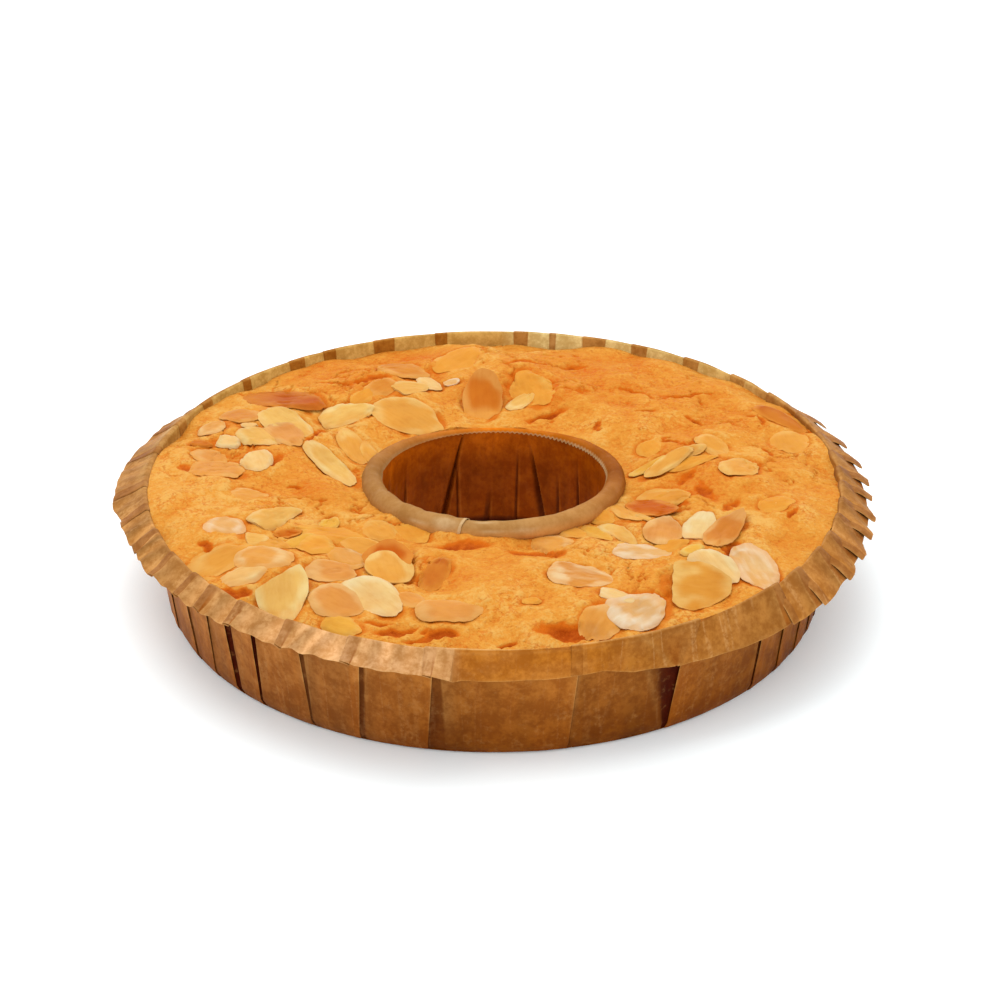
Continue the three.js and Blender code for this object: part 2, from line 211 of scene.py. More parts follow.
@dataclass
class Surface:
    """Points in millimetres, the faces between them, and what a finish reads at each point."""

    points: np.ndarray
    faces: np.ndarray
    attributes: Values = field(default_factory=dict)

    @staticmethod
    def grid(rows: int, columns: int, close_rows: bool, close_columns: bool) -> np.ndarray:
        """Four-sided faces of a grid numbered row by row, facing along (columns' way) x (rows' way)."""
        row = np.arange(rows if close_rows else rows - 1)[:, None]
        column = np.arange(columns if close_columns else columns - 1)[None, :]
        up, across = (row + 1) % rows, (column + 1) % columns
        low, high = row * columns, up * columns
        corners = [low + column, low + across, high + across, high + column]
        return np.stack(corners, axis=-1).reshape(-1, 4)

    @classmethod
    def loop(cls, points: np.ndarray, attributes: Values) -> Surface:
        """A ring-shaped skin: a grid of points that closes along its rows and along its columns."""
        rows, columns = points.shape[:2]
        return cls(points.reshape(-1, 3), cls.grid(rows, columns, True, True), flat_attributes(attributes))

    @classmethod
    def sheet(
        cls,
        faces: tuple[np.ndarray, np.ndarray],
        attributes: tuple[Values, Values],
        closed: bool,
    ) -> Surface:
        """A thin sheet: a front grid, a back grid turned round, and strips that join their free edges.

        Args:
            faces: grids of points on the front and on the back.
            attributes: values on the front grid and on the back grid.
            closed: whether the columns close round the turn.

        Returns:
            One closed skin.
        """
        rows, columns = faces[0].shape[:2]
        count = rows * columns
        face = cls.grid(rows, columns, False, closed)
        index = np.arange(count).reshape(rows, columns)
        first = np.append(index[0], index[0, 0]) if closed else index[0]
        last = np.append(index[-1], index[-1, 0]) if closed else index[-1]
        parts = [face, face[:, ::-1] + count, cls.strip(first, count)[:, ::-1], cls.strip(last, count)]
        if not closed:
            parts += [cls.strip(index[:, 0], count), cls.strip(index[:, -1], count)[:, ::-1]]
        points = np.concatenate([side.reshape(-1, 3) for side in faces])
        front, back = (flat_attributes(side) for side in attributes)
        flat = {name: np.concatenate([values, back[name]]) for name, values in front.items()}
        return cls(points, np.concatenate(parts), flat)

    @staticmethod
    def strip(edge: np.ndarray, count: int) -> np.ndarray:
        """Faces between an edge of the front grid and the same edge of the back grid, count points later."""
        return np.stack([edge[:-1], edge[:-1] + count, edge[1:] + count, edge[1:]], axis=-1)

    @classmethod
    def joined(cls, surfaces: Sequence[Surface]) -> Surface:
        """Several surfaces as one, their faces renumbered."""
        starts = np.cumsum([0] + [len(surface.points) for surface in surfaces[:-1]])
        faces = np.concatenate([surface.faces + start for surface, start in zip(surfaces, starts)])
        attributes = {
            name: np.concatenate([surface.attributes[name] for surface in surfaces])
            for name in surfaces[0].attributes
        }
        return cls(np.concatenate([surface.points for surface in surfaces]), faces, attributes)

    def piece(self, name: str, material: bpy.types.Material, sharp: float) -> bpy.types.Object:
        """The surface as a Blender object at the origin.

        Args:
            name: the piece's name.
            material: its finish.
            sharp: edges that turn by more than this many degrees stay crisp.

        Returns:
            The linked object.
        """
        mesh = bpy.data.meshes.new(name)
        mesh.vertices.add(len(self.points))
        mesh.vertices.foreach_set("co", (self.points * METRES).astype(np.float32).ravel())
        mesh.loops.add(self.faces.size)
        mesh.loops.foreach_set("vertex_index", self.faces.astype(np.int32).ravel())
        mesh.polygons.add(len(self.faces))
        mesh.polygons.foreach_set("loop_start", np.arange(0, self.faces.size, 4, dtype=np.int32))
        mesh.polygons.foreach_set("use_smooth", np.ones(len(self.faces), dtype=bool))
        mesh.update(calc_edges=True)
        for key, values in self.attributes.items():
            kind, slot = ("FLOAT_COLOR", "color") if values.ndim == 2 else ("FLOAT", "value")
            mesh.attributes.new(key, kind, "POINT").data.foreach_set(slot, values.astype(np.float32).ravel())
        mesh.set_sharp_from_angle(angle=math.radians(sharp))
        mesh.materials.append(material)
        made = bpy.data.objects.new(name, mesh)
        bpy.context.scene.collection.objects.link(made)
        return made


def flat_attributes(attributes: Values) -> Values:
    """Grid attributes as lists: numbers one a point, and colours four a point."""
    return {
        name: values.reshape(-1) if values.ndim == 2 else values.reshape(-1, values.shape[-1])
        for name, values in attributes.items()
    }


def polar(radius: Any, degrees: Any, height: Any) -> np.ndarray:
    """Points at a radius, heading and height about the torte's own axis."""
    radius, turn, height = np.broadcast_arrays(radius, np.radians(degrees), height)
    return np.stack([radius * np.cos(turn), radius * np.sin(turn), height], axis=-1)


def sheet_normals(points: np.ndarray) -> np.ndarray:
    """Unit normals of a grid whose columns close: (difference across columns) x (difference along rows)."""
    across = np.roll(points, -1, axis=1) - np.roll(points, 1, axis=1)
    along = np.gradient(points, axis=0)
    normal = np.cross(across, along)
    return normal / np.maximum(np.linalg.norm(normal, axis=-1, keepdims=True), 1e-9)


def axis_turn(axis: int, degrees: float) -> np.ndarray:
    """Rotation matrix about one axis: cosine and sine on the other two."""
    cosine, sine = math.cos(math.radians(degrees)), math.sin(math.radians(degrees))
    matrix = np.eye(3)
    first, second = (axis + 1) % 3, (axis + 2) % 3
    matrix[first, first] = matrix[second, second] = cosine
    matrix[second, first], matrix[first, second] = sine, -sine
    return matrix


Operand = Union[float, "Socket"]


class Socket:
    """A shader value whose operators add Math nodes to its graph."""

    def __init__(self, graph: ShaderGraph, output: bpy.types.NodeSocket) -> None:
        """Keeps the graph and the node output that it wraps."""
        self.graph = graph
        self.output = output

    def math(self, operation: str, first: Operand, second: Operand = 0.0) -> Socket:
        """One Math node."""
        return self.graph.node("ShaderNodeMath", {"operation": operation}, {0: first, 1: second})

    def __add__(self, other: Operand) -> Socket:
        """Sum."""
        return self.math("ADD", self, other)

    def __radd__(self, other: Operand) -> Socket:
        """Sum, reflected."""
        return self.math("ADD", other, self)

    def __sub__(self, other: Operand) -> Socket:
        """Difference."""
        return self.math("SUBTRACT", self, other)

    def __rsub__(self, other: Operand) -> Socket:
        """Difference, reflected."""
        return self.math("SUBTRACT", other, self)

    def __mul__(self, other: Operand) -> Socket:
        """Product."""
        return self.math("MULTIPLY", self, other)

    def __rmul__(self, other: Operand) -> Socket:
        """Product, reflected."""
        return self.math("MULTIPLY", other, self)

    def __abs__(self) -> Socket:
        """Size without its sign."""
        return self.math("ABSOLUTE", self)

    def between(self, low: float, high: float) -> Socket:
        """Smooth step from 0 at low to 1 at high."""
        settings = {"interpolation_type": "SMOOTHSTEP"}
        return self.graph.node("ShaderNodeMapRange", settings, {"Value": self, 1: low, 2: high})

    def clamped(self) -> Socket:
        """The value held between 0 and 1."""
        return self.graph.node("ShaderNodeClamp", {}, {"Value": self})


class ShaderGraph:
    """A material's nodes, ending in one Principled shader."""

    def __init__(self, name: str) -> None:
        """Makes an empty material of that name."""
        self.material = bpy.data.materials.new(name)
        self.material.use_nodes = True
        self.tree = self.material.node_tree
        self.tree.nodes.clear()

    def node(
        self, kind: str, settings: Mapping[str, Any], inputs: Mapping[Any, Any], output: Any = 0
    ) -> Socket:
        """Adds any node.

        Args:
            kind: the node's type.
            settings: its own properties, set before its sockets; "stops" fills a colour ramp.
            inputs: a value or a Socket for each input, by name or number.
            output: the output to wrap, by name or number.

        Returns:
            The wrapped output.
        """
        made = self.tree.nodes.new(kind)
        for key, value in settings.items():
            if key == "stops":
                self.fill_ramp(made.color_ramp, value)
            else:
                setattr(made, key, value)
        for key, value in inputs.items():
            if isinstance(value, Socket):
                self.tree.links.new(value.output, made.inputs[key])
            else:
                made.inputs[key].default_value = value
        return Socket(self, made.outputs[output])

    @staticmethod
    def fill_ramp(ramp: bpy.types.ColorRamp, stops: Sequence[tuple[float, Colour]]) -> None:
        """Gives a colour ramp its stops, in order."""
        while len(ramp.elements) < len(stops):
            ramp.elements.new(1.0)
        for element, (position, colour) in zip(ramp.elements, stops):
            element.position = position
            element.color = colour

    def attribute(self, name: str, output: str = "Fac") -> Socket:
        """A value or a colour stored at the piece's points."""
        return self.node("ShaderNodeAttribute", {"attribute_name": name}, {}, output)

    def place(self) -> Socket:
        """Object coordinates, in metres."""
        return self.node("ShaderNodeTexCoord", {}, {}, "Object")

    def stretched(self, place: Socket, stretch: tuple[float, float, float]) -> Socket:
        """A place with each axis multiplied by its stretch."""
        return self.node("ShaderNodeMapping", {}, {"Vector": place, "Scale": stretch})

    def spokes(self, place: Socket, radius: float, drift: float) -> Socket:
        """The place's heading on a circle of that many millimetres' radius, plus a drift times the place."""
        flat = self.stretched(place, (1, 1, 0))
        heading = self.node("ShaderNodeVectorMath", {"operation": "NORMALIZE"}, {0: flat})
        inputs = {0: heading, 1: (radius * METRES,) * 3, 2: self.stretched(place, (drift,) * 3)}
        return self.node("ShaderNodeVectorMath", {"operation": "MULTIPLY_ADD"}, inputs)

    def grain(self, place: Socket, size: float, detail: float = 3.0, roughness: float = 0.5) -> Socket:
        """Noise from 0 to 1 whose blots are about that many millimetres across."""
        inputs = {"Vector": place, "Scale": 1.0 / (size * METRES), "Detail": detail, "Roughness": roughness}
        return self.node("ShaderNodeTexNoise", {}, inputs, "Fac")

    def ramp(self, value: Socket, stops: Sequence[tuple[float, Colour]]) -> Socket:
        """A colour picked by a value."""
        return self.node("ShaderNodeValToRGB", {"stops": stops}, {"Fac": value}, "Color")

    def mix(self, share: Operand, low: Any, high: Any, way: str = "MIX") -> Socket:
        """Two colours mixed by a share."""
        settings = {"data_type": "RGBA", "blend_type": way}
        return self.node("ShaderNodeMix", settings, {0: share, 6: low, 7: high}, 2)

    def bump(self, height: Socket, depth: float, strength: float, under: Socket | None = None) -> Socket:
        """Normals tilted by a height of up to that many millimetres, over those of another bump."""
        inputs: dict[str, Any] = {"Height": height, "Distance": depth * METRES, "Strength": strength}
        if under is not None:
            inputs["Normal"] = under
        return self.node("ShaderNodeBump", {}, inputs, "Normal")

    def finish(self, inputs: Mapping[str, Any]) -> bpy.types.Material:
        """Ends the graph in a Principled shader with these inputs."""
        surface = self.node("ShaderNodeBsdfPrincipled", {}, inputs, "BSDF")
        made = self.tree.nodes.new("ShaderNodeOutputMaterial")
        self.tree.links.new(surface.output, made.inputs["Surface"])
        return self.material


@dataclass(frozen=True)
class CrustFinish:
    """Baked sponge: golden, toasted in patches, deep orange where torn, finely pored.

    Painted light lies on its rises, and painted shade lies in its hollows and beside the flakes.
    """

    pale: Colour = paint(252, 190, 96, TOP_LIGHT)
    golden: Colour = paint(247, 167, 63, TOP_LIGHT)
    toasted: Colour = paint(238, 142, 42, TOP_LIGHT)
    torn: Colour = paint(234, 114, 8, TOP_LIGHT)
    deep: Colour = paint(188, 74, 1, TOP_LIGHT)
    pore: Colour = paint(214, 114, 24, TOP_LIGHT)

    def material(self) -> bpy.types.Material:
        """Colour from the crust's toasting, tears and painted light and shade, with blots, veins, pores and
        crumb.
        """
        graph = ShaderGraph("sponge_crust")
        place = graph.place()
        torn = graph.attribute("torn")
        blots = graph.grain(place, 12.0, 4.0, 0.6)
        crumb = graph.grain(place, 1.7, 4.0, 0.64).between(0.3, 0.7)
        patches = graph.grain(place, 15.0, 2.0).between(0.4, 0.58)
        sand = graph.grain(place, 0.9, 2.0, 0.6).between(0.3, 0.7)
        pores = graph.grain(place, 1.2, 1.0).between(0.6, 0.7)
        veins = (1.0 - abs(graph.grain(place, 8.0, 4.0, 0.62) - 0.5).between(0.0, 0.035)) * patches
        shade = graph.attribute("toast") * 0.45 + blots * 0.4 - crumb * 0.28 - sand * 0.24
        # Painted light and shade: the higher the crust's relief, the paler its colour, and the lower, the
        # more orange.
        shade = shade - graph.attribute("relief") * 0.85
        stops = [(0.0, self.pale), (0.34, self.golden), (0.74, self.toasted), (1.0, self.torn)]
        colour = graph.ramp(shade + 0.82, stops)
        colour = graph.mix(veins * 0.5, colour, self.torn)
        colour = graph.mix(pores * (0.22 + patches * 0.3), colour, self.pore)
        # Painted shade: the crust beside each flake's outline takes the torn colour.
        tear = (graph.attribute("near") * 0.75 + torn.between(0.05, 0.4) * 0.9).clamped()
        colour = graph.mix(tear, colour, self.torn)
        colour = graph.mix(torn.between(0.35, 0.85) * (0.6 + crumb * 0.4), colour, self.deep)
        fine = graph.bump(sand, 0.2, 0.5)
        coarse = graph.bump(crumb - pores * 0.5 - veins * 0.5, 0.3, 0.55, fine)
        return graph.finish(
            {
                "Base Color": colour,
                "Roughness": 0.6 + crumb * 0.2,
                "Normal": coarse,
                "Specular IOR Level": 0.06,
            }
        )


@dataclass(frozen=True)
class AlmondFinish:
    """Sliced almond: waxy, its tone stored at its points, with faint streaks along each flake."""

    shade: Colour = (0.84, 0.68, 0.46, 1.0)
    light: Colour = (1.0, 1.0, 1.0, 1.0)

    def material(self) -> bpy.types.Material:
        """The stored tone with streaks and mottling, and a waxy gloss."""
        graph = ShaderGraph("sliced_almond")
        place = graph.place()
        along = graph.stretched(graph.attribute("along", "Vector"), (0.22, 1.0, 1.0))
        streaks = graph.grain(along, 1.3, 3.0, 0.6)
        mottle = graph.grain(place, 3.4, 3.0, 0.55)
        mask = (streaks * 0.6 + mottle * 0.5).between(0.34, 0.66)
        streaked = graph.mix(mask, self.shade, self.light)
        colour = graph.mix(0.4, graph.attribute("tone", "Color"), streaked, "MULTIPLY")
        return graph.finish(
            {
                "Base Color": colour,
                "Roughness": 0.26 + mottle * 0.22,
                "Normal": graph.bump(streaks * 0.7 + mottle * 0.5, 0.14, 0.5),
                "Specular IOR Level": 0.02,
                "Subsurface Weight": 0.3,
                "Subsurface Radius": (0.003, 0.0022, 0.0012),
            }
        )


@dataclass(frozen=True)
class PaperFinish:
    """Greased baking paper: tone and gloss stored at its points, with grease blots and upright fibres."""

    name: str
    roughness: float
    dusting: float = 0.16
    stain: Colour = (0.68, 0.58, 0.44, 1.0)
    clear: Colour = (1.0, 1.0, 1.0, 1.0)
    dust: Colour = paint(204, 150, 88, SIDE_LIGHT)
    # Pale of the painted sheen along crinkles
    line: Colour = paint(222, 172, 112, SIDE_LIGHT)

    @staticmethod
    def points(tone: np.ndarray, gloss: Any, crinkle: Any) -> Values:
        """What the finish reads at a grid's points: tone, gloss and share of crinkles."""
        shape = tone.shape[:-1]
        return {
            "tone": tone,
            "gloss": np.broadcast_to(gloss, shape),
            "crinkle": np.broadcast_to(crinkle, shape),
        }

    def material(self) -> bpy.types.Material:
        """The stored tone, stained by blots and fibres, dusted, with painted sheen in pale lines along its
        crinkles, and glossy where greasy.
        """
        graph = ShaderGraph(self.name)
        place = graph.place()
        blots = graph.grain(place, 6.0, 5.0, 0.64)
        fibres = graph.grain(graph.spokes(place, 110.0, 0.25), 2.4, 3.0, 0.6)
        specks = graph.grain(place, 1.3, 3.0, 0.65)
        stains = (blots * 0.66 + fibres * 0.1 + specks * 0.3).between(0.42, 0.66)
        tone = graph.attribute("tone", "Color")
        colour = graph.mix(1.0, tone, graph.mix(stains, self.stain, self.clear), "MULTIPLY")
        dusted = graph.grain(place, 3.2, 4.0, 0.68).between(0.54, 0.72)
        colour = graph.mix(dusted * self.dusting, colour, self.dust)
        # Painted sheen: pale lines that wander along the crinkles, with a bump.
        wander = graph.grain(graph.spokes(place, 110.0, 0.08), 6.0, 1.0, 0.4)
        lines = (1.0 - abs(wander - 0.5).between(0.0, 0.034)) * specks.between(0.35, 0.6)
        lines = lines * graph.attribute("crinkle")
        colour = graph.mix(lines * 0.4, colour, self.line)
        roughness = self.roughness + blots * 0.2
        height = blots * 0.45 + fibres * 0.3 + specks * 0.2 + lines * 0.6
        return graph.finish(
            {
                "Base Color": colour,
                "Roughness": roughness,
                "Normal": graph.bump(height, 0.3, 0.55),
                "Coat Weight": graph.attribute("gloss") * stains,
                "Coat Roughness": 0.25,
                "Specular IOR Level": 0.03,
            }
        )


@dataclass(frozen=True)
class FloorFinish:
    """Plain pale studio floor."""

    colour: Colour = (0.92, 0.98, 1.0, 1.0)
    glow: float = 0.05

    def material(self) -> bpy.types.Material:
        """Matt and even."""
        inputs = {
            "Base Color": self.colour,
            "Roughness": 0.9,
            "Specular IOR Level": 0.0,
            "Emission Color": self.colour,
            "Emission Strength": self.glow,
        }
        return ShaderGraph("studio_floor").finish(inputs)


@dataclass(frozen=True)
class CaseShape:
    """The paper case's form, which the cake and the brim follow."""

    paper: float = 0.14
    height: float = 38.2
    base_radius: float = 104.0
    top_radius: float = 108.6
    wall_top: float = 36.2

    def wall_radius(self, height: Any) -> Any:
        """The wall flares evenly from its base to its top."""
        return blend(self.base_radius, self.top_radius, height / self.wall_top)


@dataclass(frozen=True)
class TubeShape:
    """The centre tube's form, which the crust meets: its bead is fat at the front and thin at the back."""

    radius: float = 36.0
    bead_bore: float = 35.5
    front_bead: tuple[float, float] = (3.4, 37.3)
    back_bead: tuple[float, float] = (1.1, 34.1)
    thinning: float = 3.0

    def bead_radius(self, degrees: Any) -> Any:
        """The bead's own radius: from front to back by a power of the share of the way round."""
        return blend(self.front_bead[0], self.back_bead[0], self.back_share(degrees) ** self.thinning)

    def bead_circle(self, degrees: Any) -> Any:
        """Radius of the ring that the bead's middle runs on, so that its inner side keeps one bore."""
        return self.bead_bore + self.bead_radius(degrees)

    def bead_middle(self, degrees: Any) -> Any:
        """Height of the bead's middle: highest at the front."""
        return blend(self.front_bead[1], self.back_bead[1], self.back_share(degrees))

    @staticmethod
    def back_share(degrees: Any) -> Any:
        """0 at the front, 1 at the back, by the sine of the heading."""
        return (1.0 + np.sin(np.radians(degrees))) / 2.0


@dataclass(frozen=True)
class Patch:
    """A round spot of crust: its middle, radius and strength."""

    x: float
    y: float
    radius: float
    strength: float

    def __call__(self, spot: np.ndarray, core: float = 0.0) -> np.ndarray:
        """Its strength at each place: whole within a core share of its radius, then fading out smoothly."""
        away = np.hypot(spot[..., 0] - self.x, spot[..., 1] - self.y)
        return self.strength * (1.0 - smooth(core * self.radius, self.radius, away))


@dataclass(frozen=True)
class Swell:
    """A slow wave in the crust: its height, its lengths across and towards the back, and its phase."""

    rise: float
    wide: float
    deep: float
    phase: float

    def __call__(self, spot: np.ndarray) -> np.ndarray:
        """The height times the sine of the place's share of both lengths."""
        share = spot[..., 0] / self.wide + spot[..., 1] / self.deep
        return self.rise * np.sin(2 * math.pi * share + self.phase)


@dataclass(frozen=True)
class Tear:
    """A torn or crumbled spot of crust: place, length, width, heading and depth."""

    x: float
    y: float
    length: float
    width: float
    heading: float
    depth: float


TEARS: tuple[Tear, ...] = tuple(
    Tear(*row)
    for row in (
        (-10, -48, 19, 7, 4, 1.2), (13, -51, 22, 7, 8, 0.9), (61, -4, 15, 3, 70, 0.8),
        (66, -14, 18, 3.4, 105, 0.9), (73, -23, 13, 3, 60, 1.0), (58, -20, 10, 3, 120, 0.7),
        (-27, -97, 15, 4, 14, 1.4), (-20, -100, 13, 3, 20, 1.3), (-33, -93, 9, 3, -10, 1.0),
        (-14, -98, 10, 4, 10, 1.4), (22, -97, 23, 8, -4, 2.3), (4, -102, 8, 3, 20, 1.6),
        (18, 44, 17, 4, 22, 1.4), (26, 80, 8, 4, 10, 1.6), (-62, -43, 10, 4, 15, 1.3),
        (-58, 25, 17, 3, 82, 1.4), (-69, 4, 9, 4, 60, 1.0), (-97, 3, 7, 6, 80, 0.9),
        (-63, -10, 8, 2.5, -20, 0.9), (-41, -25, 9, 3, -35, 1.0), (-74, -75, 12, 5, -20, 1.6),
        (-85, -50, 8, 4, -40, 1.2), (46, 60, 10, 2, -8, 1.0), (51, 56.5, 9, 2, -70, 1.0),
        (63, 54.5, 26, 2, 8, 1.1), (51, 42.5, 8, 2.4, 0, 1.3), (34, 34, 7, 2, 88, 1.1),
        (66, 36, 13, 2, -56, 1.1), (57, 19.5, 9, 2.6, -55, 1.2), (61, 15.5, 8, 2.6, -28, 1.2),
        (65, 18, 9, 2.6, 66, 1.2), (88.5, 14.5, 8, 2.6, -75, 1.4), (87, 36.5, 9, 1.8, -60, 1.0),
        (37, 7.5, 6, 1.8, -70, 0.9), (-42, 65, 20, 3, 24, 1.1), (-53, 62, 14, 3, -20, 0.9),
        (10, 78, 18, 2.5, 6, 0.9), (84, -72, 9, 3, 60, 1.0), (71, -53, 14, 6, 60, 1.8),
        (91, -29.5, 7, 2.4, 40, 1.1),
    )
)


@dataclass(frozen=True)
class CrustShape:
    """The crust's top: a dome between tube and wall, with a collar, swells, hollows, tears and wrinkles."""

    case: CaseShape = CaseShape()
    tube: TubeShape = TubeShape()
    inner_height: float = 35.0
    crest: tuple[float, float] = (77.0, 39.2)
    bead_lap: float = 0.5
    wall_gap: float = -0.35
    edge_height: Round = Round(
        {0: 36.8, 45: 35, 90: 33, 135: 34, 165: 36, 180: 37, 225: 37, 250: 35.6, 270: 34.2,
         300: 35.2, 330: 36.6}
    )
    collar: Round = Round(
        {0: 0.7, 45: 0.8, 90: 0.4, 135: 0.4, 180: 0.8, 225: 1.2, 258: 1.7, 275: 1.5, 300: 1.1,
         330: 0.9}
    )
    collar_reach: float = 7.0
    collar_bumps: Grain = Grain(0.6, 4.5, 33, 1)
    swells: tuple[Swell, ...] = (
        Swell(0.8, 62, 71, 0.6),
        Swell(0.6, -41, 36, 2.1),
        Swell(0.45, 27, 33, 4.0),
    )
    hollows: tuple[Patch, ...] = (
        Patch(20, -96, 10, 1.4),
        Patch(-24, -95, 11, 1.6),
        Patch(-58, -50, 8, 1.4),
        Patch(18, 46, 9, 1.4),
        Patch(26, 80, 7, 1.0),
        Patch(-57, 32, 8, 1.2),
        Patch(66, 12, 8, 1.2),
    )
    toasted: tuple[Patch, ...] = (
        Patch(64, -2, 26, 0.9),
        Patch(30, 66, 46, 0.8),
        Patch(-40, 76, 44, 0.75),
        Patch(-82, 10, 20, 0.45),
        Patch(-60, -8, 20, 0.35),
        Patch(0, -46, 16, 0.5),
        Patch(84, 40, 30, 0.45),
        Patch(-8, -62, 22, 0.55),
        Patch(62, 56, 26, 0.55),
    )
    toast_core: float = 0.2
    tear_warps: tuple[Grain, Grain] = (Grain(2.2, 4.0, 31), Grain(2.2, 4.0, 41))
    tear_edge: tuple[float, float] = (0.4, 1.15)
    lumps: tuple[Grain, Grain] = (Grain(0.6, 15.0, 11), Grain(0.62, 5.0, 21))
    veins: Grain = Grain(1.0, 12.0, 51, 4, 0.55)
    vein_width: float = 0.06
    vein_patches: Grain = Grain(1.0, 22.0, 61, 2)
    wrinkle_depth: float = 0.9
    roughness: Grain = Grain(1.0, 2.4, 71)
    fine_crumb: Grain = Grain(0.1, 1.1, 95, 1)
    coarse_crumb: float = 0.24

    def inner(self, degrees: Any) -> Any:
        """Radius at which the crust meets the bead, a little inside the bead's outer side."""
        return self.tube.bead_circle(degrees) + self.tube.bead_radius(degrees) - self.bead_lap

    def edge(self, degrees: Any) -> Any:
        """Radius at which the crust meets the paper wall."""
        return self.case.wall_radius(self.edge_height(degrees)) - self.wall_gap

    def dome(self, radius: np.ndarray, degrees: np.ndarray) -> np.ndarray:
        """A quarter sine from the inner edge up to the crest, then a quarter cosine down to the wall."""
        inner, edge = self.inner(degrees), self.edge(degrees)
        crest_radius, crest_height = self.crest
        rise = np.clip((radius - inner) / (crest_radius - inner), 0.0, 1.0)
        fall = np.clip((radius - crest_radius) / (edge - crest_radius), 0.0, 1.0)
        inside = blend(self.inner_height, crest_height, np.sin(math.pi / 2 * rise))
        outside = blend(self.edge_height(degrees), crest_height, np.cos(math.pi / 2 * fall))
        return np.where(radius < crest_radius, inside, outside)

    def base(self, spot: np.ndarray) -> np.ndarray:
        """The dome, its uneven collar at the bead and each swell, less each hollow."""
        radius, degrees = ring_place(spot)
        uneven = 1.0 + self.collar_bumps(spot)
        near = 1.0 - smooth(0.0, self.collar_reach, radius - self.inner(degrees))
        height = self.dome(radius, degrees) + self.collar(degrees) * uneven * near
        height = height + sum(swell(spot) for swell in self.swells)
        return height - sum(hollow(spot) for hollow in self.hollows)

    def toast(self, spot: np.ndarray) -> np.ndarray:
        """How browned each place is: the strongest of the toasted patches."""
        return np.max([patch(spot, self.toast_core) for patch in self.toasted], axis=0)

    def tears(self, spot: np.ndarray) -> tuple[np.ndarray, np.ndarray]:
        """The tears, each a long oval whose outline is pushed about by noise.

        Args:
            spot: places across and towards the back.

        Returns:
            How torn each place is from 0 to 1, and the depth of the tear there.
        """
        warped = spot + np.stack([warp(spot) for warp in self.tear_warps], axis=-1)
        torn = depth = np.zeros(spot.shape[:-1])
        for tear in TEARS:
            mask = 1.0 - smooth(*self.tear_edge, oval_share(warped, tear))
            torn = np.maximum(torn, mask * min(1.0, 0.35 + 0.4 * tear.depth))
            depth = np.maximum(depth, mask * tear.depth)
        return torn, depth

    def detail(self, spot: np.ndarray) -> tuple[np.ndarray, np.ndarray]:
        """Lumps, wrinkles, tears and crumb on top of the base form.

        Wrinkles run where a slow noise passes through zero, inside patches. Tears are cut in and are rough
        inside.

        Args:
            spot: places across and towards the back.

        Returns:
            Height to add, and how torn each place is from 0 to 1.
        """
        torn, depth = self.tears(spot)
        patch = smooth(-0.05, 0.35, self.vein_patches(spot) + 0.4 * self.toast(spot))
        wrinkle = (1.0 - smooth(0.0, self.vein_width, np.abs(self.veins(spot)))) * patch
        rough = self.roughness(spot)
        crumb = self.coarse_crumb * rough + self.fine_crumb(spot)
        lumps = self.lumps[0](spot) + self.lumps[1](spot)
        height = lumps + crumb - self.wrinkle_depth * wrinkle - depth * (0.8 + 0.55 * rough)
        return height, np.maximum(torn * (0.85 + 0.3 * rough), 0.34 * wrinkle)

    def top(self, spot: np.ndarray) -> tuple[np.ndarray, np.ndarray]:
        """The crust's whole height and its tears, its detail fading out at both edges."""
        radius, degrees = ring_place(spot)
        inside = smooth(-1.0, 4.0, radius - self.inner(degrees))
        outside = smooth(-0.5, 5.0, self.edge(degrees) - radius)
        height, torn = self.detail(spot)
        return self.base(spot) + height * (0.4 + 0.6 * inside * outside), np.clip(torn, 0.0, 1.0)


class AlmondTone(Enum):
    """How a flake is toasted: its middle, its rim, and how crinkled it is in millimetres."""

    PALE = ((254, 219, 150), (254, 233, 178), 0.08)
    CREAM = ((248, 196, 106), (253, 222, 150), 0.1)
    WHITE = ((240, 196, 136), (254, 237, 206), 0.4)
    YELLOW = ((248, 192, 78), (250, 210, 116), 0.08)
    PINK = ((236, 160, 86), (248, 198, 130), 0.06)
    BLUSH = ((238, 168, 86), (250, 208, 146), 0.2)
    RIPPLED = ((232, 156, 78), (254, 220, 168), 0.45)
    ROSE = ((222, 134, 50), (240, 176, 100), 0.06)
    TAN = ((243, 171, 74), (251, 204, 120), 0.07)
    AMBER = ((246, 166, 58), (248, 186, 84), 0.06)
    ORANGE = ((234, 158, 60), (246, 196, 112), 0.06)
    COPPER = ((232, 130, 36), (244, 168, 82), 0.06)
    BROWN = ((212, 96, 4), (234, 146, 56), 0.06)
    RUSSET = ((198, 86, 6), (208, 108, 30), 0.06)

    @property
    def colours(self) -> tuple[np.ndarray, np.ndarray]:
        """Colours of the middle and of the rim."""
        middle, rim, _ = self.value
        return np.array(paint(*middle, FLAKE_LIGHT)), np.array(paint(*rim, FLAKE_LIGHT))

    @property
    def crinkle(self) -> float:
        """Height of its crinkles."""
        return self.value[2]


@dataclass(frozen=True)
class Flake:
    """One slice: place, length, width, heading of its tip, lean of its far edge and tone.

    Some are broken off at the blunt end by a share of their length, on a slant, some curl by some
    millimetres, and each has a share of its underside buried in the crust.
    """

    x: float
    y: float
    length: float
    width: float
    heading: float
    lean: float
    tone: AlmondTone
    buried: float = 0.16
    broken: float = 0.0
    curl: float = 0.7
    slant: float = 0.0


T = AlmondTone

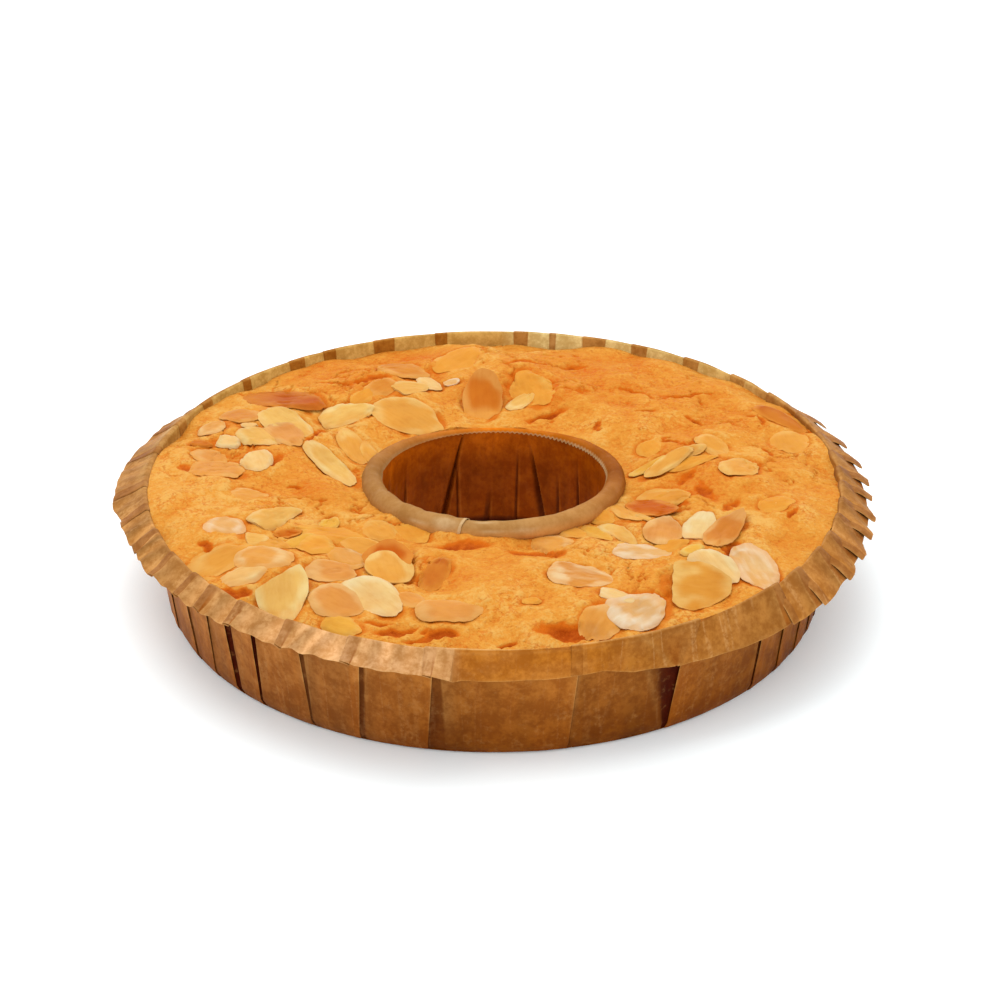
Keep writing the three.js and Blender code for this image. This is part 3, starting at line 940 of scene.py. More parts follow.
FLAKES: tuple[Flake, ...] = (
    # the drift on the back left
    Flake(-83.5, 38, 17, 12.5, -45, 2, T.ROSE),
    Flake(-68, 31.5, 24, 14, -52, 2, T.CREAM),
    Flake(-70, 52.5, 31, 17, -33, 3, T.RUSSET),
    Flake(-92.5, 30, 11, 9, -40, 2, T.BLUSH),
    Flake(-86.5, 19.5, 11, 6, -30, 3, T.PALE, broken=0.2),
    Flake(-95, 20.5, 9, 3.5, -25, 3, T.RUSSET),
    Flake(-91.5, 12, 14, 9, -35, 2, T.PINK, 0.3),
    Flake(-87.5, 1, 20, 15, -30, 2, T.PINK, 0.3),
    Flake(-75.5, 4.5, 13, 11, -70, 2, T.PALE, broken=0.1),
    Flake(-76.5, 21, 16, 11, -50, 3, T.CREAM),
    Flake(-68, 24, 20, 13, -60, 3, T.PINK, 0.25, broken=0.1),
    Flake(-52, 5.5, 31, 9, -55, 2, T.CREAM),
    Flake(-49, 41, 21, 13, 25, 3, T.CREAM, broken=0.06),
    Flake(-28.5, 41, 27, 18, -38, 3, T.TAN),
    Flake(-46, 20, 24, 9, -70, 2, T.TAN, 0.25),
    Flake(-40, 17, 18, 6, -68, 2, T.TAN, 0.3),
    Flake(-44, 53.5, 13, 7, 60, 4, T.AMBER, 0.35),
    Flake(-31.5, 74.5, 18, 13, -20, 3, T.ROSE, 0.25),
    Flake(-38, 59.5, 14, 10, 50, 3, T.ROSE, 0.3),
    Flake(-29, 60, 16, 10, 30, 4, T.CREAM, broken=0.2),
    Flake(-22, 66, 12, 6, -50, 4, T.PALE),
    Flake(-12.5, 85, 25, 13, 52, 2, T.AMBER, 0.42),
    Flake(-14.5, 65.5, 6, 4, 20, 6, T.WHITE),
    Flake(-4, 53.5, 22, 14, 90, 20, T.COPPER, curl=1.4),
    Flake(12.5, 60.5, 23, 16, 100, 3, T.AMBER, 0.4),
    Flake(9, 53.5, 13, 7, 50, 3, T.CREAM),
    # the drift on the front left
    Flake(-76, -16.5, 12, 9, 0, 2, T.BLUSH, 0.35),
    Flake(-67, -33, 19, 10, 40, 3, T.CREAM, broken=0.1),
    Flake(-81, -40, 14, 11, -40, 2, T.WHITE, 0.35),
    Flake(-50, -32, 8, 6, 70, 3, T.YELLOW),
    Flake(-49.5, -40.5, 22, 13, -10, 2, T.AMBER, 0.4),
    Flake(-34.5, -37.5, 14, 11, -60, 2, T.TAN, 0.35),
    Flake(-24.5, -38, 14, 11, -60, 2, T.AMBER, 0.4),
    Flake(-62, -42, 9, 4, 15, 6, T.BROWN),
    Flake(-71.5, -47, 9, 8, 0, 3, T.CREAM, broken=0.2),
    Flake(-52.5, -51, 15, 11, -40, 2, T.AMBER, 0.3),
    Flake(-81, -57, 20, 14, 20, 2, T.TAN, 0.36),
    Flake(-73, -67, 16, 9, 10, 2, T.PALE, 0.36),
    Flake(-41, -59, 15, 10, 80, 2, T.PINK, 0.36),
    Flake(-58, -47, 12, 7, 30, 2, T.YELLOW, 0.36),
    Flake(-66, -50, 12, 8, -10, 2, T.TAN, 0.36),
    Flake(-39, -47, 16, 10, -20, 2, T.TAN, 0.36),
    Flake(-68, -60, 20, 14, -20, 3, T.BLUSH, 0.33),
    Flake(-43, -58, 16, 11, -60, 3, T.BLUSH, 0.34),
    Flake(-60.5, -79.5, 24, 16, -88, 13, T.CREAM, broken=0.2, slant=-0.8),
    Flake(-47.5, -67.5, 17, 13, -30, 4, T.PINK),
    Flake(-31.6, -59.5, 17, 15.5, 90, 17, T.BROWN, curl=1.6),
    Flake(-30.5, -65.5, 18, 14.5, 100, 11, T.TAN),
    Flake(-17, -66.5, 19, 9, 72, 3, T.RUSSET, 0.3, curl=1.2),
    Flake(-44.5, -84, 18, 15, -35, 3, T.PINK),
    Flake(-34.5, -81, 22, 14, -45, 3, T.PALE),
    Flake(-23.5, -82.5, 12, 8, -40, 2, T.PINK, 0.4),
    Flake(-13, -88, 19, 12, 8, 2, T.PINK, 0.25),
    Flake(-43, -94.5, 14, 8, -30, 2, T.YELLOW, 0.36),
    # the drift on the front right
    Flake(25, -68.5, 19.5, 16.5, -10, 2, T.RIPPLED, 0.2),
    Flake(31, -92, 15, 12, 60, 2, T.BLUSH, 0.35),
    Flake(35.5, -80, 12, 8, -20, 3, T.PALE, broken=0.1),
    Flake(41.5, -86, 21, 16, 45, 3, T.WHITE),
    Flake(18, -42.5, 13, 10, -10, 2, T.BLUSH, 0.35),
    Flake(33, -27.5, 12, 7, -50, 3, T.AMBER, 0.3),
    Flake(31.5, -39.5, 18, 6, -62, 2, T.YELLOW, 0.3),
    Flake(37.5, -41.5, 20, 6, -58, 2, T.CREAM, 0.25),
    Flake(42, -26.5, 21, 9, -68, 4, T.TAN, 0.25),
    Flake(52, -52, 14, 8, 20, 2, T.AMBER, 0.36),
    Flake(43.5, -54, 19, 9, -12, 3, T.WHITE, broken=0.1),
    Flake(24, -36, 13, 7, -40, 2, T.TAN, 0.36),
    Flake(53, -15.5, 18, 14, -12, 2, T.ORANGE, 0.3),
    Flake(49, -24, 19, 12, -42, 6, T.BROWN, curl=1.6),
    Flake(51.5, -41.5, 19, 12, 82, 4, T.PINK),
    Flake(62.5, -39, 22, 10, 75, 5, T.PALE, broken=0.1),
    Flake(70, -42, 25, 10, 62, 5, T.ROSE, curl=1.2),
    Flake(59, -57, 8, 5, 30, 3, T.YELLOW),
    Flake(65, -64.5, 18, 14, -60, 4, T.PALE),
    Flake(59.5, -74, 21, 20, -1, 6, T.ORANGE, broken=0.15),
    Flake(77.5, -61.5, 26, 14, -78, 4, T.WHITE, 0.28),
    # the few strewn along the right
    Flake(87.5, -24, 12, 10, 20, 2, T.AMBER, 0.45),
    Flake(49, 5.5, 16, 4, 40, 4, T.YELLOW),
    Flake(63.5, 5, 18, 6, 24, 3, T.AMBER, 0.3),
    Flake(61, 10, 20, 6, 40, 3, T.TAN, 0.28),
    Flake(56, 5, 22, 7, 38, 4, T.TAN),
    Flake(50.5, 17.5, 10, 9, -70, 2, T.AMBER, 0.45),
    Flake(71, 16.5, 16, 9, -60, 3, T.TAN, 0.3),
    Flake(78, -0.5, 17, 13, 80, 3, T.TAN, 0.2),
    Flake(96, 23, 16, 13, -80, 2, T.TAN, 0.4),
    Flake(94.5, 38, 23, 9, -42, 2, T.RUSSET, 0.3),
    # fragments
    Flake(11, -83.5, 6, 4, 20, 2, T.AMBER, 0.4),
    Flake(-80, 29, 6, 3, 10, 4, T.PALE),
    Flake(46, -33, 9, 3, -60, 4, T.CREAM),
)


@dataclass
class SpongeRing:
    """The baked ring itself, its crust on top."""

    crust: CrustShape
    columns: int = 800
    top_rows: int = 100
    floor: float = 0.4
    corner: float = 1.6
    bore_gap: float = 1.8
    side_gap: float = 1.2
    crevice: float = 1.6
    crevice_depth: float = 0.4
    pillow: float = 0.5
    pillow_away: float = 2.4
    pillow_width: float = 1.3
    breaks: Grain = Grain(1.0, 5.0, 81, 2)
    under_bead: float = 0.9
    under_edge: float = 1.6
    crisp: float = 80.0

    def near_flakes(self, spot: np.ndarray) -> tuple[np.ndarray, np.ndarray]:
        """The crevice at the flakes' outlines, which the crust's finish paints with shade, and the crust's
        rise beside them, both broken up by noise.

        The distance from the nearest flake's oval is its radius share less one, times its mean half width.

        Args:
            spot: places across and towards the back.

        Returns:
            How near each place is to a flake, from 0 to 1, painted as shade by the crust's finish, and the
            height to add there.
        """
        outs = [(oval_share(spot, flake) - 1.0) * (flake.length + flake.width) / 4 for flake in FLAKES]
        away = np.min(outs, axis=0)
        broken = self.breaks(spot)
        near = (1.0 - smooth(0.0, self.crevice, away)) * smooth(-0.35, 0.4, broken)
        beside = np.exp(-(((away - self.pillow_away) / self.pillow_width) ** 2)) * smooth(-0.4, 0.4, -broken)
        return near, self.pillow * beside - self.crevice_depth * near

    def surface(self) -> Surface:
        """Crust rows from the wall in to the tube, then the ring's inner side, floor and outer side."""
        crust, tube = self.crust, self.crust.tube
        degrees = even_turns(self.columns)
        share = np.linspace(0.0, 1.0, self.top_rows)[:, None]
        top = polar(blend(crust.edge(degrees), crust.inner(degrees), share), degrees, 0.0)
        spot = top[..., :2]
        top[..., 2], torn = crust.top(spot)
        near, lift = self.near_flakes(spot)
        top[1:-1, :, 2] += lift[1:-1]
        lip = top[-1, :, 2]
        under = np.minimum(tube.bead_middle(degrees) - tube.bead_radius(degrees), lip) - self.under_bead
        bore = tube.radius + self.bore_gap
        outer = crust.case.wall_radius(self.floor) - self.side_gap
        edge_height = crust.edge_height(degrees)
        halfway = edge_height / 2
        under_edge = np.minimum(top[0, :, 2], edge_height) - self.under_edge
        sides = [
            (bore, under),
            (bore, self.floor),
            (blend(bore, outer, 0.5), self.floor),
            (outer - self.corner, self.floor),
            (outer, self.floor + self.corner),
            (crust.case.wall_radius(halfway) - self.side_gap, halfway),
            (crust.edge(degrees) - self.side_gap / 2, under_edge),
        ]
        rest = np.stack([polar(radius, degrees, height) for radius, height in sides])
        flat = np.zeros(rest.shape[:2])
        # The crust's finish paints this relief share as light on the rises and shade in the hollows, and the
        # near share as shade beside the flakes.
        relief = np.clip(0.5 + 0.5 * (top[..., 2] - crust.base(spot)), 0.0, 1.0)
        attributes = {
            "torn": np.concatenate([torn, flat]),
            "relief": np.concatenate([relief, flat + 0.3]),
            "near": np.concatenate([near, flat]),
            "toast": np.concatenate([crust.toast(spot), flat + 0.5]),
        }
        return Surface.loop(np.concatenate([top, rest]), attributes)

    def build(self) -> bpy.types.Object:
        """The dressed ring, standing for the cake's solid."""
        piece = self.surface().piece("sponge_ring", CrustFinish().material(), self.crisp)
        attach(piece, BODY)
        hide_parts("cake")
        return piece


@dataclass
class FlakedAlmonds:
    """The slices strewn on the crust, each an uneven egg-shaped plate with a waxy curl."""

    crust: CrustShape
    grid: int = 21
    thickness: float = 0.85
    taper: float = 0.15
    point: float = 0.1
    sink: float = 0.4
    stack: float = 0.35
    stack_most: int = 2
    overlap: float = 0.25
    footing: float = 5.0
    roll: float = 5.0
    draw_seed: int = 20411
    conform: float = 0.45
    least: float = 0.22
    soft_rim: float = 0.6
    crust_tone: Colour = CrustFinish.golden
    clearness: tuple[float, float, float] = (0.02, 0.25, 0.36)
    outline: tuple[Grain, Grain] = (Grain(0.09, 1.0, 5, 1), Grain(0.035, 1.0 / 3.1, 6, 1))
    jag: Grain = Grain(0.25, 1.0, 7, 1)
    crinkles: Grain = Grain(1.0, 1.5, 9, 2)
    dents: Grain = Grain(0.12, 3.0, 10, 1)
    border: Grain = Grain(1.0, 1.0, 12, 2)
    warmth: Grain = Grain(0.07, 1.25, 13, 1)
    bend_seed: int = 8
    rim_thinning: float = 0.6
    tip: float = 0.25
    leftover: float = 0.03
    edge_gaps: tuple[float, float] = (0.2, 0.3)
    standing: tuple[float, float] = (7.0, 14.0)
    deepest: float = 0.4
    melting: tuple[float, float] = (0.16, 0.38)
    melted_rim: tuple[float, float] = (0.66, 1.0)
    lifted: tuple[float, float] = (2.5, 6.0)
    lying_rim: tuple[float, float] = (0.8, 1.0)
    rim_sink: float = 0.12
    thinnest: float = 0.15
    clear_height: tuple[float, float] = (0.2, 1.3)
    crisp: float = 50.0

    # The multiplier and the range of the sequence that draws each flake's roll
    DRAW_STEP = 16807
    DRAW_RANGE = 2147483647

    def disc(self) -> tuple[np.ndarray, np.ndarray]:
        """A square grid pressed into a disc: each side's lines bow out by the other's half square."""
        line = np.linspace(-1.0, 1.0, self.grid)
        u, v = np.meshgrid(line, line)
        return u * np.sqrt(1.0 - v * v / 2.0), v * np.sqrt(1.0 - u * u / 2.0)

    def rolls(self) -> np.ndarray:
        """Each flake's roll about its own length, from a multiplying sequence of draws."""
        state = self.draw_seed
        draws = []
        for _ in FLAKES:
            state = state * self.DRAW_STEP % self.DRAW_RANGE
            draws.append(2.0 * state / self.DRAW_RANGE - 1.0)
        return self.roll * np.array(draws)

    @staticmethod
    def rippled(x: np.ndarray, y: np.ndarray, index: int) -> np.ndarray:
        """Places squeezed along a slice, so that noise runs in ripples across it, unlike in the others."""
        return np.stack([(x + 40.0 * index) / 3.0, y], axis=-1)

    def plate(self, flake: Flake, index: int) -> tuple[np.ndarray, np.ndarray, np.ndarray]:
        """One flat slice round its own middle, its tip along +X.

        The disc is stretched to an egg that narrows to its tip and whose outline wavers, cut off aslant at
        its broken end, curled along and across, and thinned towards its rim.

        Args:
            flake: the slice.
            index: its number, which seeds its unevenness.

        Returns:
            Front grid, back grid, and each point's share of the way out to the rim.
        """
        p, q = self.disc()
        share = np.clip(np.hypot(p, q), 0.0, 1.0)
        turn = np.arctan2(q, p)
        ring = np.stack([np.cos(turn) * 1.3 + index * 7.1, np.sin(turn) * 1.3], axis=-1)
        waver = 1.0 + share * (self.outline[0](ring) + self.outline[1](ring))
        cells = np.array([[index, draw] for draw in range(1, 5)])
        lengthwise, crosswise, twist, skew = Noise.cell_values(cells, self.bend_seed) * 2.0 - 1.0
        narrowing = (1.0 - self.taper * p) * (1.0 - self.point * smooth(self.tip, 1.0, p))
        x = flake.length / 2 * p * waver
        y = flake.width / 2 * q * narrowing * waver
        blunt = -flake.length / 2 * (1.0 - 2.0 * flake.broken)
        jag = self.jag(np.stack([y / 1.7, np.full_like(y, index * 3.3)], axis=-1))
        cut = blunt + ((0.35 * skew + flake.slant) * y + jag) * (flake.broken > 0)
        x = np.where(x < cut, cut + self.leftover * (x - cut), x)
        along, across = 2.0 * x / flake.length, 2.0 * y / flake.width
        bow = (0.55 + 0.45 * lengthwise) * along**2 + 0.4 * crosswise * across**2
        bow += 0.35 * twist * along * across
        spot = self.rippled(x, y, index)
        middle = flake.curl * bow + flake.tone.crinkle * self.crinkles(spot) + self.dents(spot)
        half = 0.5 * self.thickness * (1.0 - self.rim_thinning * share**3)
        return np.stack([x, y, middle + half], axis=-1), np.stack([x, y, middle - half], axis=-1), share

    def stacked(self, index: int) -> int:
        """How many earlier flakes lie under this one, up to the most that count."""
        flake = FLAKES[index]
        apart = [
            math.hypot(flake.x - other.x, flake.y - other.y) / (flake.length + other.length)
            for other in FLAKES[:index]
        ]
        return min(sum(share < self.overlap for share in apart), self.stack_most)

    def turned(self, flake: Flake, roll: float) -> np.ndarray:
        """Rotation that spins a slice to its heading, tips it with the crust and lifts its far edge."""
        step = self.footing
        places = np.array([[-step, 0], [step, 0], [0, -step], [0, step]]) + [flake.x, flake.y]
        heights = self.crust.base(places)
        normal = np.array([heights[0] - heights[1], heights[2] - heights[3], 2 * step])
        normal /= np.linalg.norm(normal)
        side = np.array([normal[2], 0.0, -normal[0]])
        side /= np.linalg.norm(side)
        slope = np.stack([side, np.cross(normal, side), normal], axis=1)
        return axis_turn(0, flake.lean) @ slope @ axis_turn(2, flake.heading) @ axis_turn(0, roll)

    def tones(self, index: int, local: np.ndarray, share: np.ndarray) -> np.ndarray:
        """The middle's tone out to a soft border that wanders with noise, then the rim's.

        Crinkle ridges take the paler rim tone as painted light, and their troughs the middle's as painted
        shade.

        Args:
            index: the slice's number.
            local: places on the slice before it is laid.
            share: each place's share of the way out to the rim.

        Returns:
            A colour for each point, warmer or cooler by a slow noise.
        """
        tone = FLAKES[index].tone
        middle, rim = tone.colours
        spot = np.stack([local[..., 0] / 7.0 + index * 3.7, local[..., 1] / 5.0], axis=-1)
        # Painted light and shade: crinkle ridges pale, their troughs darker.
        painted_ridge_shading = 1.7 * tone.crinkle * self.crinkles(self.rippled(local[..., 0], local[..., 1], index))
        toward = smooth(0.55, 1.0, share + (0.35 + tone.crinkle) * self.border(spot)) + painted_ridge_shading
        warmth = 1.0 + self.warmth(spot)[..., None]
        return tinted(middle, rim, toward) * warmth ** np.array([1.0, 1.6, 2.2, 0.0])

    def laid(self, index: int, roll: float) -> Surface:
        """One slice on the crust: turned, then set down until its share of its underside is buried."""
        flake = FLAKES[index]
        front, back, share = self.plate(flake, index)
        local = np.concatenate([front * METRES, np.ones((*share.shape, 1))], axis=-1)
        local[..., 2] = index * 0.1
        tone = self.tones(index, front, share)
        rotation = self.turned(flake, roll)
        front, back = (side @ rotation.T + [flake.x, flake.y, 0.0] for side in (front, back))
        height, _ = self.crust.top(back[..., :2])
        clearance = np.percentile(back[..., 2] - height, 100.0 * flake.buried)
        drop = self.stack * self.stacked(index) - self.sink - clearance
        for side in (front, back):
            side[..., 2] += drop
            radius, degrees = ring_place(side)
            least = self.crust.inner(degrees) + self.edge_gaps[0]
            most = self.crust.edge(degrees) - self.edge_gaps[1]
            side[..., :2] *= (np.clip(radius, least, most) / radius)[..., None]
        ground, _ = self.crust.top(front[..., :2])
        lying = 1.0 - smooth(*self.standing, flake.lean)
        settled = lying * self.conform * (front[..., 2] - ground - np.median(front[..., 2] - ground))
        front[..., 2] -= settled
        back[..., 2] -= settled
        proud = self.least * (1.0 - 2.0 * share**8) * (flake.buried < self.deepest)
        front[..., 2] = np.maximum(front[..., 2], ground + proud)
        melted = smooth(*self.melting, flake.buried) * smooth(*self.melted_rim, share)
        softened = (1.0 - smooth(*self.lifted, flake.lean)) * smooth(*self.lying_rim, share)
        sunk = np.maximum(melted, self.soft_rim * softened)
        front[..., 2] = blend(front[..., 2], ground - self.rim_sink, sunk)
        back[..., 2] = np.minimum(back[..., 2], front[..., 2] - self.thinnest)
        clear, by_depth, by_thinness = self.clearness
        thin = by_thinness * (1.0 - smooth(*self.clear_height, front[..., 2] - ground))
        tone = tinted(tone, self.crust_tone, clear + by_depth * flake.buried + thin + 0.25 * melted)
        attributes = {"tone": tone, "along": local}
        return Surface.sheet((front, back), (attributes, attributes), False)

    def build(self) -> bpy.types.Object:
        """All the slices as one piece."""
        rolls = self.rolls()
        surface = Surface.joined([self.laid(index, rolls[index]) for index in range(len(FLAKES))])
        piece = surface.piece("flaked_almonds", AlmondFinish().material(), self.crisp)
        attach(piece, BODY)
        return piece


@dataclass(frozen=True)
class Pleat:
    """One knife pleat: heading, width doubled over, gape at base and top, and whether the painted shade in
    its gape fades.

    Its flap's edge takes a share of the gape, and a torn brim jumps at a share of the panel after the
    pleat. It leans by some millimetres from base to top, and by a share its tuck is sunk and painted
    with shade.
    """

    heading: float
    overlap: float
    base_gape: float = 0.1
    top_gape: float = 0.2
    fades: bool = False
    flap_share: float = 0.5
    torn_at: float = 0.0
    lean: float = 0.0
    # Share by which the tuck is sunk and painted with shade
    dark: float = 0.5


PLEATS: tuple[Pleat, ...] = (
    *(
        Pleat(heading, overlap)
        for heading, overlap in (
            (1, 3.4), (7, 3.0), (14, 3.4), (22, 4.0), (31, 4.4), (40, 7.0), (51, 6.4),
            (62, 6.0), (71, 8.4), (79, 2.2), (85, 5.0), (100, 4.2), (111, 7.5), (122, 4.6),
            (129, 6.0), (141, 3.4), (152, 5.0), (161, 5.0), (172, 4.2),
        )
    ),
    Pleat(184, 4.0, lean=1.5),
    Pleat(193, 4.0, lean=-1.0),
    Pleat(201, 3.0, 0.4, 0.9, lean=1.6, dark=0.8),
    Pleat(210, 2.6, 0.9, 0.4, lean=-1.4),
    Pleat(217, 2.4, lean=1.2),
    Pleat(223, 2.6, 2.0, 2.4, lean=-1.2, dark=1.0),
    Pleat(229, 2.6, 0.7, 1.2, lean=0.6, dark=1.0),
    Pleat(239, 2.2, 0.5, 1.6, True, lean=-1.5),
    Pleat(249, 3.0, 2.2, 1.2, True, lean=1.4, dark=0.6),
    Pleat(261, 2.4, 5.6, 1.2, torn_at=0.124, dark=0.45),
    Pleat(282, 3.0, 0.2, 0.2, lean=1.6, dark=0.3),
    Pleat(299, 4.0, 1.2, 14.0, True, flap_share=0.3, dark=1.0),
    Pleat(318, 2.6, 0.5, 0.6, lean=1.4, dark=0.8),
    Pleat(325, 2.8, lean=-0.8),
    Pleat(332, 2.8, lean=1.2),
    Pleat(338, 2.8),
    Pleat(344, 2.8, lean=1.0),
    Pleat(350, 2.8),
    Pleat(356, 2.8),
)


@dataclass
class PaperCase:
    """The baking case: one sheet with knife pleats all round, folded out over its top into a brim."""

    shape: CaseShape
    forward_pleats: tuple[float, float] = (200.0, 290.0)
    panel_columns: int = 15
    wall_rows: int = 16
    fold_rows: int = 7
    brim_rows: int = 12
    foot: float = 0.12
    foot_curve: tuple[float, float] = (1.2, 1.4)
    edge_row: float = 0.97
    base_overlap: float = 0.35
    least_height: float = 0.1
    base_ring: tuple[float, float] = (37.2, 103.2)
    base_columns: int = 240
    base_rows: int = 5
    ply_gap: float = 0.16
    recess: float = 0.9
    tuck_fades: tuple[float, float] = (0.5, 0.85)
    tuck_end: float = 1.05
    flap_layer: float = 1.7
    tear_width: float = 0.01
    crisp: float = 55.0
    odd_seed: int = 37
    panel_seed: int = 17
    folds: Grain = Grain(1.0, (4.5, 4.5, 34.0), 101)
    fold_height: float = 0.36
    sway: Grain = Grain(0.4, 14.0, 105, 2)
    wave_swing: Grain = Grain(1.0, 13.0, 113, 1)
    wave_drift: Grain = Grain(5.0, 18.0, 111, 1)
    wave_count: float = 92.0
    slow_wave: Grain = Grain(1.0, 9.0, 121, 2)
    fine_fray: Grain = Grain(0.18, 3.0, 131, 2)
    slow_fray: Grain = Grain(0.5, 11.0, 133, 2)
    wall_mottle: Grain = Grain(0.12, (9.0, 9.0, 14.0), 19)
    brim_mottle: Grain = Grain(0.1, 7.0, 23)
    film_mottle: Grain = Grain(1.0, 6.0, 27, 2)
    top_gap: Round = Round(
        {0: 0.4, 45: 0.3, 60: 0.1, 150: 0.1, 180: 0.12, 205: 0.25, 240: 0.3, 265: 0.2, 300: 0.35}
    )
    flap_lift: Round = Round(
        {0: 0.4, 45: 0.3, 60: 0.04, 150: 0.04, 190: 0.1, 210: 0.4, 265: 0.3, 300: 0.6, 330: 0.4}
    )
    droop: Round = Round(
        {0: 40, 18: 38, 45: 50, 90: 70, 135: 50, 165: 32, 186: 30, 195: 35, 245: 36, 263.4: 42,
         263.8: 88, 294: 88, 300: 82, 312: 68, 324: 50, 336: 42, 348: 42}
    )
    width: Round = Round(
        {0: 10.5, 18: 10.5, 45: 10, 90: 8.5, 135: 10, 165: 10.5, 186: 10.8, 195: 8.2, 245: 7.8,
         263.4: 9, 263.8: 9.5, 285: 9.5, 291: 11, 300: 11.6, 312: 12, 324: 12.4, 336: 12, 348: 11}
    )
    flare: Round = Round({0: 0, 180: 4, 225: 6, 245: 12, 263.4: 30, 263.8: 0, 300: 0, 330: 4})
    bend: Round = Round(
        {0: 1.2, 45: 0.8, 90: 0.5, 135: 0.8, 180: 1.3, 225: 1.2, 250: 0.9, 263.4: 0.8, 263.8: 0.45,
         290: 0.45, 320: 0.9}
    )
    brim_gap: Round = Round(
        {0: -0.6, 20: -0.6, 40: -0.3, 60: 0.08, 120: 0.1, 180: 0.12, 240: 0.2, 265: 0.14, 290: 0.1,
         305: -0.2, 325: -0.5, 340: -0.6}
    )
    brim_gape: Round = Round(
        {0: 3.6, 30: 2.8, 60: 0.8, 150: 0.4, 250: 0.3, 262: 0.2, 290: 0.4, 310: 1.8, 330: 3.4}
    )
    saw: Round = Round(
        {0: 2.0, 20: 2.0, 35: 1.8, 60: 0.5, 150: 0.4, 250: 0.4, 262: 0.2, 300: 0.5, 325: 1.0,
         345: 1.8}
    )
    ripple: Round = Round(
        {0: 0.12, 60: 0.12, 130: 0.2, 165: 0.8, 190: 0.9, 230: 0.8, 245: 0.5, 263.4: 0.35,
         263.8: 0.03, 300: 0.15}
    )
    bands: Round = Round(
        {0: 0.7, 30: 0.7, 60: 1, 150: 1, 168: 0.8, 180: 0.7, 225: 0.7, 240: 0.45, 262: 0.2,
         300: 0.25, 320: 0.6}
    )
    gilt: Round = Round(
        {0: 0.15, 50: 0.3, 90: 0.3, 130: 0.3, 160: 0.1, 258: 0, 263.4: 0, 263.8: 1, 285: 1, 300: 0.6,
         318: 0.4, 330: 0.3}
    )
    # Share of greasy film: glossy, and painted with a pale pinkish highlight
    film: Round = Round(
        {0: 0.1, 180: 0.15, 215: 0.2, 232: 0.5, 245: 0.9, 263.4: 1, 263.8: 0.15, 300: 0.1}
    )
    # Share of a painted highlight along the fold's line, by heading
    fold_line: Round = Round({0: 0.25, 200: 0.25, 263.4: 0.3, 263.8: 0.9, 290: 0.7, 310: 0.3})
    crinkle: Round = Round(
        {0: 0.2, 60: 0.05, 160: 0.1, 195: 0.5, 255: 0.6, 263.4: 0.6, 263.8: 0.1, 287: 0.15, 294: 0.6,
         328: 0.6, 340: 0.3}
    )
    wall_light: Round = Round(
        {0: 0.9, 190: 1.22, 215: 1.18, 235: 1.08, 260: 1.0, 280: 1.0, 290: 1.07, 300: 1.0,
         315: 0.95}
    )
    # Share of painted sheen on the wall's outside, strongest on the left
    dusty: Round = Round({0: 0.05, 190: 0.22, 245: 0.16, 262: 0.04, 300: 0.02})
    brim_light: Round = Round(
        {0: 0.94, 200: 0.96, 270: 0.98, 285: 0.95, 302: 0.84, 318: 0.92, 330: 0.96}
    )
    # Share by which the backlit strip is painted paler, by heading
    strip_paleness: Round = Round({30: 0.1, 50: 0.4, 62: 0.65, 72: 0.7, 80: 1, 83: 1, 88: 0, 150: 0})
    strip_light: Round = Round({60: 1, 125: 1, 150: 0.86, 170: 0.86})
    wall_tuck: Round = Round({0: 0.25, 40: 0.5, 180: 1, 318: 1, 322: 0.25})
    wall_crinkle: Round = Round({0: 0.1, 200: 0.1, 235: 0.22, 260: 0.2, 266: 0.1, 300: 0.12, 330: 0.1})
    # Share of painted light and shade across the fanned flaps of the brim, by heading
    fan: Round = Round({0: 0.8, 40: 0.5, 60: 0.2, 160: 0.2, 250: 0.25, 300: 0.25, 312: 0.7, 325: 1})
    # Share of the inner strip above the crust painted as lit through from behind
    backlit: Round = Round({0: 0, 25: 0, 45: 1, 150: 1, 170: 0.3, 190: 0, 330: 0})
    wall_tone: Colour = paint(170, 102, 36, SIDE_LIGHT)
    foot_tone: Colour = paint(134, 70, 6, SIDE_LIGHT)
    # Painted shade in the pleats' recesses, over the paper doubled there
    recess_tone: Colour = paint(76, 20, 0, SIDE_LIGHT)
    brim_tone: Colour = paint(202, 142, 70, TOP_LIGHT)
    gilt_tone: Colour = paint(202, 118, 4, 1.34)
    # Painted shade in the brim's gussets and along the fold above the backlit strip
    doubled_tone: Colour = paint(160, 92, 26, SIDE_LIGHT)
    # Pale pinkish painted highlight on the greasy film
    film_tone: Colour = paint(248, 190, 130, 1.38)
    brim_doubled: Colour = paint(178, 114, 58, TOP_LIGHT)
    # The back strip's painted backlight: plain, paler, and dimmer where doubled
    strip_tone: Colour = paint(207, 172, 96, 0.94)
    strip_pale: Colour = paint(227, 216, 155, 0.94)
    strip_doubled: Colour = paint(164, 108, 36, 0.96)
    # Pale of the painted highlights on the flaps' edges and along the fold's line, and of the brim's outer
    # edge
    crease_tone: Colour = paint(222, 172, 104, SIDE_LIGHT)
    # Pale grey-brown of the painted sheen on the wall
    dusty_tone: Colour = paint(188, 136, 88, SIDE_LIGHT)

